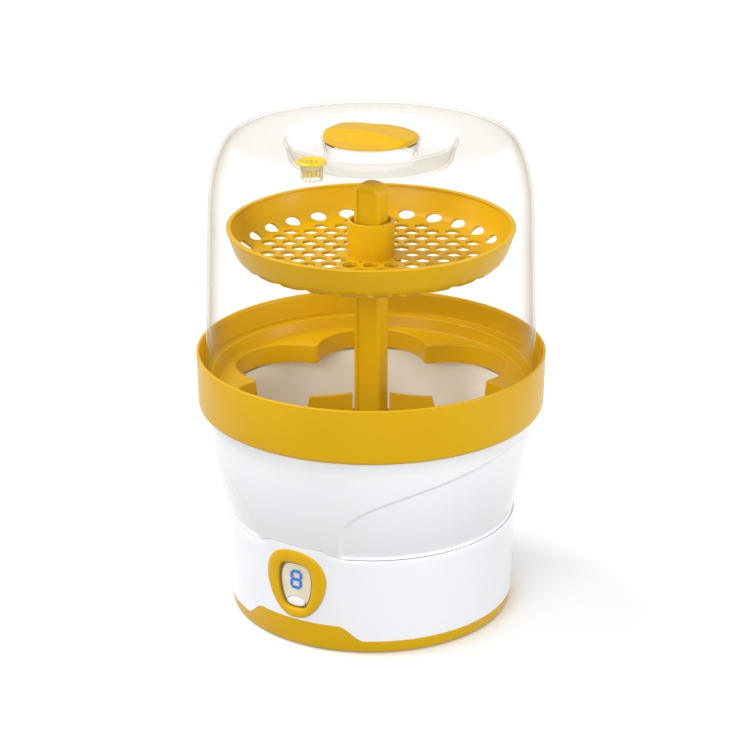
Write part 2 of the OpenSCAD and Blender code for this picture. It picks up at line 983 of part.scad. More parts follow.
module dome_cover() {
    outer = shoulder(0);
    inner = reversed(shoulder(dome_t));
    color("#EFE9D8", 0.35)
        difference() {
            rotate_extrude()
                polygon(concat(
                    [
                        [dome_edge_r, dome_z],
                        [dome_edge_r, 176],
                        [dome_edge_r - 0.5, 181],
                        [dome_edge_r - 1.5, 187]
                    ],
                    outer,
                    [
                        [well_r, dome_top_z],
                        [well_r - 1.4, dome_top_z - 1.4],
                        [53, well_z + 2],
                        [51, well_z],
                        [31.4, well_z],
                        [29.6, well_z + 1.6],
                        [hub_r - 0.6, hub_top_z - 1.6],
                        [hub_r, hub_top_z + 1.4],
                        [hub_r - 1.4, hub_top_z + 1.4],
                        [hub_r - 1.6, hub_top_z - 0.6],
                        [0, hub_top_z - 0.6],
                        [0, hub_top_z - 0.6 - hub_plate_t],
                        [30.6, hub_top_z - 0.6 - hub_plate_t],
                        [27.4, well_z - dome_t],
                        [52, well_z - dome_t],
                        [55.2, well_z + 1],
                        [well_r + 0.6, dome_top_z - dome_t]
                    ],
                    inner,
                    [
                        [dome_edge_r - 1.5 - dome_t, 187],
                        [dome_edge_r - 0.5 - dome_t, 181],
                        [dome_edge_r - dome_t, 176],
                        [dome_edge_r - dome_t, dome_z]
                    ]
                ));
            translate([0, -vent_y, 0])
                disc(vent_r, dome_top_z - 6, dome_top_z + 4);
            disc(screw_bore_r, dome_top_z - 8, dome_top_z + 2);
        }
}

module lid_grip() {
    arch = concat(
        [[-grip_half_l, grip_z], [grip_half_l, grip_z]],
        [
            for (i = [0 : 12])
                let (x = grip_half_l - i * grip_half_l / 6)
                [x, grip_top_z - grip_arc_r + sqrt(pow(grip_arc_r, 2) - x * x)]
        ]
    );
    // Cross-section of the raised bar: a flat top with sloping flanks
    section = [
        [-26, grip_z + grip_disc_t - 0.2],
        [26, grip_z + grip_disc_t - 0.2],
        [19, grip_z + grip_disc_t + 1.4],
        [11, grip_top_z - 0.2],
        [0, grip_top_z + 0.5],
        [-11, grip_top_z - 0.2],
        [-19, grip_z + grip_disc_t + 1.4]
    ];
    color(yellow)
        difference() {
            union() {
                disc(grip_disc_r, grip_z, grip_z + grip_disc_t);
                intersection() {
                    upright(arch, -30, 30);
                    rotate([0, 0, 90])
                        upright(section, -grip_half_l, grip_half_l);
                    disc(grip_disc_r - 0.6, grip_z, grip_top_z + 2);
                }
            }
            disc(screw_bore_r, grip_z - 1, grip_top_z - 1.6);
        }
}

module grip_screw() {
    color(steel)
        screw(hub_top_z - 0.6 - hub_plate_t - 0.05, 8);
}

module steam_vent() {
    color("#F0DC10")
        translate([0, -vent_y, 0])
            difference() {
                union() {
                    disc(vent_cap_r, dome_top_z + 0.1, dome_top_z + 1.9);
                    disc(6, dome_top_z - 8, dome_top_z + 0.2);
                }
                disc(7.2, dome_top_z + 1.2, dome_top_z + 3);
                disc(4.8, dome_top_z - 9, dome_top_z + 0.2);
                disc(0.9, dome_top_z - 1, dome_top_z + 2);
                around(6, 3.2)
                    disc(0.9, dome_top_z - 1, dome_top_z + 2);
            }
}

module vent_sieve() {
    color("#EFE9C8")
        translate([0, -vent_y, 0])
            difference() {
                tube(7.35, 6.15, dome_top_z - 11, dome_top_z + 0.05);
                around(12, 6.8)
                    translate([-2, -0.7, dome_top_z - 9.4])
                        cube([4, 1.4, 6.2]);
            }
}

dome_cover();
lid_grip();
grip_screw();
steam_vent();
vent_sieve();
accessory_tray();
centre_post();
stand_foot();
bottle_rack();
upper_shell();
lower_shell();
water_tank();
plate_seal();
heating_plate();
plate_clamp();
clamp_screws();
heating_element();
sensor_bracket();
bracket_nuts();
thermostat();
temperature_sensor();
thermal_fuse();
heat_shield();
bottom_cover();
rubber_feet();
case_screws();
body_screws();
control_board();
relay();
transformer();
capacitor();
terminal_block();
board_screws();
display_board();
display_screws();
digit_display();
digit_segments();
display_window();
display_bezel();
start_button();
button_switch();
cord_gland();
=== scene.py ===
"""Looks of a steam bottle sterilizer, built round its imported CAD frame.

Lengths are millimetres until make_piece() turns them to metres. The display faces -Y and +Z is up.
"""
import logging
import math
from collections.abc import Callable, Iterable, Sequence
from dataclasses import dataclass, field
from enum import Enum
from functools import cache

import bmesh
import bpy
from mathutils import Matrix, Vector
from mathutils.geometry import delaunay_2d_cdt


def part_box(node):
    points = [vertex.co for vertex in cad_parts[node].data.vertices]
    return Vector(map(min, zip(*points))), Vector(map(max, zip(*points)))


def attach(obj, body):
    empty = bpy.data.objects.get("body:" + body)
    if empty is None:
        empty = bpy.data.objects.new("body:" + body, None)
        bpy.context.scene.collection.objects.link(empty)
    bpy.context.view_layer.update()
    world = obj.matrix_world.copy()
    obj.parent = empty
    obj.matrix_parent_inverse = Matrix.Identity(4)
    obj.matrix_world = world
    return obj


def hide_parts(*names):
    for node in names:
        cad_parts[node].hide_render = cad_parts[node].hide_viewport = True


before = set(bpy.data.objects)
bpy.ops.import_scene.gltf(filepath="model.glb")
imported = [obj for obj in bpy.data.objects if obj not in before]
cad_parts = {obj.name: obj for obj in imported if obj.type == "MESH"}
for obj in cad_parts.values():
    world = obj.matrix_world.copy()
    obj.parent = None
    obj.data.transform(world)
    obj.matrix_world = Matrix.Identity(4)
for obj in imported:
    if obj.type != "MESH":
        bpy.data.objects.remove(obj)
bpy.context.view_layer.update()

MM = 0.001
# Points nearer than this, in metres, are welded into one
WELD_M = 2e-6
# Angle in degrees past which a bevel rounds an edge
BEVEL_ANGLE = 35
LOG = logging.getLogger("sterilizer")
Point2 = tuple[float, float]
Tree = bpy.types.NodeTree
Socket = bpy.types.NodeSocket
Material = bpy.types.Material
Point3 = tuple[float, float, float]
Mesh = tuple[list[Point3], list[tuple[int, ...]]]


class Body(Enum):
    """CAD bodies that pieces ride on."""

    BASE = "base"
    RACK = "rack"
    DOME = "dome"
    STAND = "stand"
    TRAY = "tray"
    BUTTON = "button"


# ---------------------------------------------------------------- numbers and outlines


def srgb(code: str) -> tuple[float, float, float, float]:
    """Turns a hex colour to linear light.

    Args:
        code: Colour as "#RRGGBB".

    Returns:
        Linear red, green, blue and an alpha of 1.
    """
    channels = [int(code[i:i + 2], 16) / 255 for i in (1, 3, 5)]
    linear = [c / 12.92 if c <= 0.04045 else ((c + 0.055) / 1.055) ** 2.4 for c in channels]
    return (*linear, 1.0)


def ease(value: float) -> float:
    """Smooth step of a value held between 0 and 1."""
    held = min(1.0, max(0.0, value))
    return held * held * (3 - 2 * held)


def mound(x: float, flat: float, reach: float) -> float:
    """Height, 0 to 1, of a flat-topped rise that runs out smoothly on both sides."""
    return ease((reach - abs(x)) / (reach - flat))


def lerp(a: float, b: float, share: float) -> float:
    """Value that lies a share of the way from a to b."""
    return a + (b - a) * share


@cache
def cad_box(node: str) -> tuple[Vector, Vector]:
    """Lowest and highest corners of a CAD node, in millimetres."""
    low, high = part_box(node)
    return low / MM, high / MM


def top_of(node: str) -> float:
    """Height of a CAD node's highest point, in millimetres."""
    return cad_box(node)[1].z


def foot_of(node: str) -> float:
    """Height of a CAD node's lowest point, in millimetres."""
    return cad_box(node)[0].z


def radius_of(node: str) -> float:
    """Largest reach of a CAD node from the middle, along X, in millimetres."""
    return cad_box(node)[1].x


def fillet(
    points: Sequence[tuple[float, float, float]], steps: int = 6, closed: bool = True,
) -> list[Point2]:
    """Rounds the corners of an outline.

    Args:
        points: Corners as (x, y, corner radius).
        steps: Number of edges that draw each round corner.
        closed: Whether the last corner joins the first.

    Returns:
        The outline with each round corner drawn as an arc.
    """
    out: list[Point2] = []
    count = len(points)
    for i, (x, y, radius) in enumerate(points):
        if radius <= 0 or (not closed and i in (0, count - 1)):
            out.append((x, y))
            continue
        here = Vector((x, y))
        back = Vector(points[i - 1][:2]) - here
        ahead = Vector(points[(i + 1) % count][:2]) - here
        half = back.angle(ahead) / 2
        cut = min(radius / math.tan(half), 0.49 * back.length, 0.49 * ahead.length)
        start = here + back.normalized() * cut
        end = here + ahead.normalized() * cut
        for k in range(steps + 1):
            t = k / steps
            p = start * (1 - t) ** 2 + here * 2 * t * (1 - t) + end * t * t
            out.append((p.x, p.y))
    return out


def box_ring(inner: float, outer: float, low: float, high: float, corner: float) -> list[Point2]:
    """Outline of a ring's wall, from the inner to the outer radius, with rounded corners."""
    return fillet([(inner, low, corner), (outer, low, corner), (outer, high, corner), (inner, high, corner)], 3)


def ring(radius: float, steps: int, centre: Point2 = (0.0, 0.0), turn: float = 0.0) -> list[Point2]:
    """Points of a circle, the first at an angle in degrees."""
    angles = [math.radians(turn + 360 * i / steps) for i in range(steps)]
    return [(centre[0] + radius * math.cos(a), centre[1] + radius * math.sin(a)) for a in angles]


def egg(
    half_w: float, half_h: float, mid_z: float, lean: float, power: float = 0.9, steps: int = 96,
) -> list[Point2]:
    """Outlines an upright egg.

    Args:
        half_w: Half its width.
        half_h: Half its height.
        mid_z: Height of its middle.
        lean: Share by which its upper part is wider.
        power: How full its sides are. A low power fills the corners.
        steps: Number of points.

    Returns:
        Points of the closed outline.
    """
    out: list[Point2] = []
    for i in range(steps):
        turn = (i + 0.5) * math.tau / steps
        side = math.copysign(abs(math.cos(turn)) ** power, math.cos(turn))
        out.append((side * half_w * (1 + lean * math.sin(turn)), mid_z + half_h * math.sin(turn)))
    return out


# ---------------------------------------------------------------- meshes


def swung(profile: Sequence[Point2], angle: float) -> list[Point3]:
    """Places of an outline of (radius, height) stood at an angle, in radians, round the vertical axis."""
    return [(r * math.cos(angle), r * math.sin(angle), z) for r, z in profile]


def revolve(profile: Sequence[Point2], steps: int = 192) -> Mesh:
    """Turns a closed outline of (radius, height) about the vertical axis."""
    return loft([swung(profile, math.tau * i / steps) for i in range(steps)])


def loft(sections: Sequence[Sequence[Point3]], loop: bool = True) -> Mesh:
    """Joins closed sections of equal count into a skin.

    Args:
        sections: Closed outlines in order.
        loop: Whether the last section joins the first. Otherwise both ends are capped.

    Returns:
        Points and faces.
    """
    count = len(sections[0])
    verts = [p for section in sections for p in section]
    faces: list[tuple[int, ...]] = []
    for s in range(len(sections) if loop else len(sections) - 1):
        a, b = s * count, (s + 1) % len(sections) * count
        for k in range(count):
            n = (k + 1) % count
            faces.append((a + k, b + k, b + n, a + n))
    if not loop:
        faces.append(tuple(range(count)))
        faces.append(tuple(range(len(verts) - 1, len(verts) - count - 1, -1)))
    return verts, faces


def sheet(
    outline: Sequence[Point2],
    holes: Sequence[Sequence[Point2]],
    inside: Iterable[Point2],
    front: Callable[[float, float], Point3],
    back: Callable[[float, float], Point3],
    seam: float | None = None,
) -> Mesh:
    """Makes a wall with holes from a flat pattern.

    Args:
        outline: Outer loop of the pattern.
        holes: Loops that are left open.
        inside: Further points that let the wall curve.
        front: Place in space of a pattern point on the front face.
        back: The same on the back face.
        seam: Where the pattern closes on itself, the x value, either sign, of its two ends.

    Returns:
        Points and faces of the closed wall.
    """
    loops = [list(outline), *[list(h) for h in holes]]
    points: list[Point2] = []
    edges: list[tuple[int, int]] = []
    for pts in loops:
        start = len(points)
        points.extend(pts)
        edges.extend((start + i, start + (i + 1) % len(pts)) for i in range(len(pts)))
    points.extend(inside)
    # Type 1 keeps the triangles inside the outline, and those in the holes go next
    made, _, tris, _, _, _ = delaunay_2d_cdt([Vector(p) for p in points], edges, [], 1, 1e-5)
    spans = [(min(p[0] for p in h), max(p[0] for p in h), min(p[1] for p in h), max(p[1] for p in h), h)
             for h in holes]
    kept = []
    for tri in tris:
        x = sum(made[i].x for i in tri) / 3
        y = sum(made[i].y for i in tri) / 3
        if not any(x0 < x < x1 and y0 < y < y1 and within(x, y, h) for x0, x1, y0, y1, h in spans):
            kept.append(tuple(tri))
    total = len(made)
    verts = [front(p.x, p.y) for p in made] + [back(p.x, p.y) for p in made]
    faces: list[tuple[int, ...]] = list(kept)
    faces += [tuple(total + i for i in reversed(tri)) for tri in kept]
    used: dict[tuple[int, int], int] = {}
    for tri in kept:
        for i, a in enumerate(tri):
            b = tri[(i + 1) % len(tri)]
            used[(a, b)] = used.get((a, b), 0) + 1
    for a, b in used:
        if (b, a) in used:
            continue
        if seam is not None and abs(abs(made[a].x) - seam) < 1e-4 and abs(made[a].x - made[b].x) < 1e-4:
            continue
        faces.append((b, a, total + a, total + b))
    return verts, faces


def within(x: float, y: float, loop: Sequence[Point2]) -> bool:
    """Whether a point lies inside a closed loop."""
    inside = False
    for i, (x1, y1) in enumerate(loop):
        x2, y2 = loop[i - 1]
        if (y1 > y) != (y2 > y) and x < (x2 - x1) * (y - y1) / (y2 - y1) + x1:
            inside = not inside
    return inside


def joined(*parts: Mesh) -> Mesh:
    """One mesh that holds several."""
    verts: list[Point3] = []
    faces: list[tuple[int, ...]] = []
    for part_verts, part_faces in parts:
        start = len(verts)
        verts.extend(part_verts)
        faces.extend(tuple(start + i for i in face) for face in part_faces)
    return verts, faces


def moved(mesh: Mesh, place: Callable[[Point3], Point3]) -> Mesh:
    """A mesh with each point taken through a function."""
    return [place(p) for p in mesh[0]], mesh[1]


def shifted(mesh: Mesh, x: float = 0.0, y: float = 0.0, z: float = 0.0) -> Mesh:
    """A mesh moved by a distance."""
    return moved(mesh, lambda p: (p[0] + x, p[1] + y, p[2] + z))


def make_piece(
    name: str, mesh: Mesh, material: Material, body: Body,
    replaces: Sequence[str] = (), crease: float = 38.0,
) -> bpy.types.Object:
    """Makes a shown piece and ties it to the frame.

    Args:
        name: Name of the piece.
        mesh: Points in millimetres, and faces.
        material: Its finish.
        body: CAD body that it rides on.
        replaces: CAD nodes that it stands for.
        crease: Angle in degrees above which an edge stays sharp.

    Returns:
        The new object.
    """
    data = bpy.data.meshes.new(name)
    data.from_pydata([tuple(c * MM for c in p) for p in mesh[0]], [], mesh[1])
    work = bmesh.new()
    work.from_mesh(data)
    bmesh.ops.remove_doubles(work, verts=work.verts, dist=WELD_M)
    loose = [v for v in work.verts if not v.link_faces]
    bmesh.ops.delete(work, geom=loose, context="VERTS")
    bmesh.ops.recalc_face_normals(work, faces=work.faces)
    work.to_mesh(data)
    work.free()
    data.polygons.foreach_set("use_smooth", [True] * len(data.polygons))
    data.set_sharp_from_angle(angle=math.radians(crease))
    data.materials.append(material)
    piece = bpy.data.objects.new(name, data)
    bpy.context.scene.collection.objects.link(piece)
    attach(piece, body.value)
    if replaces:
        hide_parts(*replaces)
    LOG.info("%s: %d points, rides on %s", name, len(data.vertices), body.value)
    return piece


def dress(node: str, material: Material, soften: float = 0.0) -> None:
    """Gives a CAD node a finish and, if asked, small round edges of a width in millimetres."""
    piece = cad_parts[node]
    piece.data.materials.clear()
    piece.data.materials.append(material)
    if soften > 0:
        bevel = piece.modifiers.new("soft_edges", "BEVEL")
        bevel.width = soften * MM
        bevel.segments = 2
        bevel.limit_method = "ANGLE"
        bevel.angle_limit = math.radians(BEVEL_ANGLE)
        bevel.harden_normals = True
    LOG.info("%s: CAD node dressed with %s", node, material.name)


# ---------------------------------------------------------------- finishes


def add_node(
    tree: Tree, kind: str, settings: dict | None = None, links: dict | None = None,
) -> bpy.types.Node:
    """Adds a shader node.

    Args:
        tree: Tree that takes the node.
        kind: Blender's name of the node type.
        settings: Values of its inputs or properties, by name.
        links: Output sockets to join to its inputs, by input name.

    Returns:
        The new node.
    """
    node = tree.nodes.new(kind)
    for key, value in (settings or {}).items():
        if isinstance(key, int) or key in node.inputs:
            node.inputs[key].default_value = value
        else:
            setattr(node, key, value)
    for key, socket in (links or {}).items():
        tree.links.new(socket, node.inputs[key])
    return node


def ramp(
    tree: Tree, socket: Socket, stops: Sequence[tuple[float, str]],
) -> bpy.types.Node:
    """Adds a colour ramp with hex colours at the given places."""
    node = add_node(tree, "ShaderNodeValToRGB", links={"Fac": socket})
    elements = node.color_ramp.elements
    elements[0].position, elements[0].color = stops[0][0], srgb(stops[0][1])
    elements[1].position, elements[1].color = stops[-1][0], srgb(stops[-1][1])
    for place, code in stops[1:-1]:
        elements.new(place).color = srgb(code)
    return node


@dataclass(frozen=True)
class Finish:
    """A named material with its surface detail."""

    name: str
    light: str
    deep: str
    roughness: float = 0.3
    ior: float = 1.5
    metallic: float = 0.0
    shine: float = 0.5
    coat: float = 0.0
    grain_mm: float = 0.8
    grain_depth_mm: float = 0.01
    mottle_mm: float = 35.0
    subsurface: float = 0.0

    def make(self) -> Material:
        """Builds the material: a mottled colour, uneven gloss and fine relief."""
        material = bpy.data.materials.new(self.name)
        material.use_nodes = True
        tree = material.node_tree
        tree.nodes.clear()
        place = add_node(tree, "ShaderNodeTexCoord").outputs["Object"]
        colour = self.colour(tree, place)
        uneven = add_node(tree, "ShaderNodeTexNoise", {"Scale": 1 / (self.mottle_mm * MM * 0.4), "Detail": 5.0},
                          {"Vector": place})
        gloss = add_node(tree, "ShaderNodeMapRange",
                         {"To Min": self.roughness * 0.8, "To Max": self.roughness * 1.25},
                         {"Value": uneven.outputs["Fac"]})
        relief = self.relief(tree, place)
        shader = add_node(
            tree, "ShaderNodeBsdfPrincipled",
            {"IOR": self.ior, "Metallic": self.metallic, "Specular IOR Level": self.shine,
             "Coat Weight": self.coat, "Coat Roughness": 0.08,
             "Subsurface Weight": self.subsurface, "Subsurface Radius": (0.004, 0.003, 0.0015)},
            {"Base Color": colour, "Roughness": gloss.outputs["Result"], "Normal": relief})
        self.extras(tree, shader)
        add_node(tree, "ShaderNodeOutputMaterial", links={"Surface": shader.outputs[0]})
        return material

    def colour(self, tree: Tree, place: Socket) -> Socket:
        """Socket of the surface colour, clouded between the light and deep tones."""
        cloud = add_node(tree, "ShaderNodeTexNoise", {"Scale": 1 / (self.mottle_mm * MM), "Detail": 3.0},
                         {"Vector": place})
        return ramp(tree, cloud.outputs["Fac"], [(0.3, self.deep), (0.7, self.light)]).outputs["Color"]

    def relief(self, tree: Tree, place: Socket) -> Socket:
        """Socket of the bumped normal, grained at the finish's own size."""
        grain = add_node(tree, "ShaderNodeTexNoise", {"Scale": 1 / (self.grain_mm * MM), "Detail": 4.0},
                         {"Vector": place})
        bump = add_node(tree, "ShaderNodeBump", {"Strength": 0.5, "Distance": self.grain_depth_mm * MM},
                        {"Height": grain.outputs["Fac"]})
        return bump.outputs["Normal"]

    def extras(self, tree: Tree, shader: bpy.types.Node) -> None:
        """Settings that only some finishes have."""


@dataclass(frozen=True)
class ClearShell(Finish):
    """Clear moulded polycarbonate: see-through face on, milky and glossy edge on."""

    face_alpha: float = 0.07
    edge_alpha: float = 0.75
    edge_power: float = 2.6

    def extras(self, tree: Tree, shader: bpy.types.Node) -> None:
        """Makes the wall denser where it is seen along its thickness."""
        facing = add_node(tree, "ShaderNodeLayerWeight", {"Blend": 0.5})
        curve = add_node(tree, "ShaderNodeMath", {"operation": "POWER", 1: self.edge_power},
                         {0: facing.outputs["Facing"]})
        density = add_node(tree, "ShaderNodeMapRange", {"To Min": self.face_alpha, "To Max": self.edge_alpha},
                           {"Value": curve.outputs[0]})
        tree.links.new(density.outputs["Result"], shader.inputs["Alpha"])


@dataclass(frozen=True)
class BrushedMetal(Finish):
    """Metal with fine scratches that run one way."""

    scratch_mm: float = 0.5
    round_grain: bool = False

    def relief(self, tree: Tree, place: Socket) -> Socket:
        """Scratches round the middle on a spun disc, and along X on a strip."""
        if self.round_grain:
            lines = add_node(tree, "ShaderNodeTexWave",
                             {"wave_type": "RINGS", "rings_direction": "Z",
                              "Scale": 1 / (self.scratch_mm * MM * 6.3), "Distortion": 1.5, "Detail": 3.0,
                              "Detail Scale": 2.0}, {"Vector": place})
        else:
            along = add_node(tree, "ShaderNodeMapping", {"Scale": (0.05, 1.0, 1.0)}, {"Vector": place})
            lines = add_node(tree, "ShaderNodeTexNoise", {"Scale": 1 / (self.scratch_mm * MM), "Detail": 2.0},
                             {"Vector": along.outputs["Vector"]})
        bump = add_node(tree, "ShaderNodeBump", {"Strength": 0.4, "Distance": self.grain_depth_mm * MM},
                        {"Height": lines.outputs["Fac"]})
        return bump.outputs["Normal"]


@dataclass(frozen=True)
class LitFinish(Finish):
    """Readout segments that glow a little."""

    glow: float = 0.6

    def extras(self, tree: Tree, shader: bpy.types.Node) -> None:
        """Adds the glow."""
        shader.inputs["Emission Color"].default_value = srgb(self.light)
        shader.inputs["Emission Strength"].default_value = self.glow


@dataclass(frozen=True)
class BoardFinish(Finish):
    """Glass-fibre circuit board: green lacquer over a grid of fine tracks."""

    track_mm: float = 2.5

    def colour(self, tree: Tree, place: Socket) -> Socket:
        """Lacquer that is lighter where copper lies under it."""
        tracks = add_node(tree, "ShaderNodeTexBrick",
                          {"Scale": 1 / (self.track_mm * MM * 4), "Mortar Size": 0.02,
                           "Color1": srgb(self.deep), "Color2": srgb(self.deep), "Mortar": srgb(self.light)},
                          {"Vector": place})
        return tracks.outputs["Color"]


@dataclass
class Finishes:
    """All finishes of the sterilizer, built once."""

    # Polypropylene, injection moulded and coloured through: satin gloss, a little light enters it
    yellow: Finish = Finish("polypropylene_yellow", "#E0B104", "#D6A503", 0.32, 1.49, shine=0.22,
                            mottle_mm=120.0)
    # The same in the lighter batch of the vent cap
    vent: Finish = Finish("polypropylene_lemon", "#EACB0C", "#DFBE09", 0.25, 1.49, shine=0.35)
    # ABS, moulded in a polished tool: glossy and even
    white: Finish = Finish("abs_white", "#F3F4F7", "#EFF0F4", 0.2, 1.53, coat=0.35, mottle_mm=90.0)
    # Polypropylene left natural: matt and a little waxy
    cream: Finish = Finish("polypropylene_cream", "#FAF9F5", "#F3F1E9", 0.42, 1.49, subsurface=0.1)
    # Polycarbonate, moulded clear: colourless with warm, dense edges
    clear: Finish = ClearShell("polycarbonate_clear", "#A8903F", "#9A8233", 0.05, 1.58, shine=0.3,
                               grain_depth_mm=0.001, face_alpha=0.015, edge_alpha=1.0, edge_power=6.5)
    # Natural polypropylene: milky and see-through
    milky: Finish = ClearShell("polypropylene_natural", "#F6F3DC", "#EFEAC8", 0.2, 1.49, face_alpha=0.5,
                               edge_alpha=0.9)
    # Printed polycarbonate panel
    panel: Finish = Finish("polycarbonate_printed", "#E9DFC6", "#D9CBA6", 0.2, 1.58, coat=0.6, mottle_mm=12.0)
    # The same polycarbonate, coloured dark brown as painted shade: a dark glossy line round the panel
    bead: Finish = Finish("polycarbonate_bead_painted_shade", "#7A673C", "#66552E", 0.15, 1.58, coat=0.6, mottle_mm=20.0)
    # Light-emitting segments under epoxy
    blue: Finish = LitFinish("epoxy_segment_blue", "#0F7BDD", "#0D68C0", 0.3, glow=0.12)
    # Translucent ABS key
    key: Finish = Finish("abs_pearl", "#F3F4F7", "#E6E8EE", 0.16, 1.53, coat=0.5, subsurface=0.1)
    # Stainless steel, spun
    steel: Finish = BrushedMetal("stainless_spun", "#D2D2D0", "#BDBDBB", 0.28, metallic=1.0, round_grain=True)
    # Mild steel, zinc plated
    zinc: Finish = BrushedMetal("steel_zinc_plated", "#C3C8CE", "#A6ADB4", 0.35, metallic=1.0, mottle_mm=6.0)
    # Incoloy heater sheath, drawn and oxidised
    sheath: Finish = BrushedMetal("incoloy_drawn", "#8A857E", "#5E5B58", 0.45, metallic=1.0, mottle_mm=8.0)
    # Brass probe
    brass: Finish = BrushedMetal("brass_turned", "#D9B36C", "#B98B4A", 0.3, metallic=1.0, mottle_mm=5.0)
    # Silicone rubber, moulded: dull and milky
    silicone: Finish = Finish("silicone_natural", "#E2DED4", "#CFCABD", 0.55, 1.41, subsurface=0.15)
    # Nitrile rubber, moulded: black and dull
    rubber: Finish = Finish("nitrile_black", "#2E2E30", "#1E1E20", 0.7, 1.52, grain_mm=0.5, grain_depth_mm=0.03)
    # Phenolic or PBT part bodies
    black: Finish = Finish("pbt_black", "#2A2A2D", "#1C1C1F", 0.45, 1.55, grain_mm=0.4, grain_depth_mm=0.02)
    relay: Finish = Finish("pbt_blue", "#2F5AA8", "#254A8E", 0.4, 1.55, grain_mm=0.4, grain_depth_mm=0.02)
    terminal: Finish = Finish("polyamide_green", "#4F9050", "#3C7A40", 0.42, 1.53, grain_mm=0.4,
                              grain_depth_mm=0.02)
    # Polyester tape wound over a coil
    tape: Finish = Finish("polyester_tape", "#D9B02C", "#B98F16", 0.32, 1.57, grain_mm=1.5, grain_depth_mm=0.04)
    # Fired steatite
    ceramic: Finish = Finish("steatite_fired", "#EFE9DA", "#DDD4C0", 0.6, 1.6, grain_mm=0.4,
                             grain_depth_mm=0.03)
    # Epoxy glass board under green lacquer
    board: Finish = BoardFinish("fr4_green", "#3F8A55", "#1F5B35", 0.35, 1.55)
    built: dict[str, Material] = field(default_factory=dict)

    def get(self, key: str) -> Material:
        """Material of a finish, by field name."""
        if key not in self.built:
            self.built[key] = getattr(self, key).make()
        return self.built[key]


# ---------------------------------------------------------------- dome


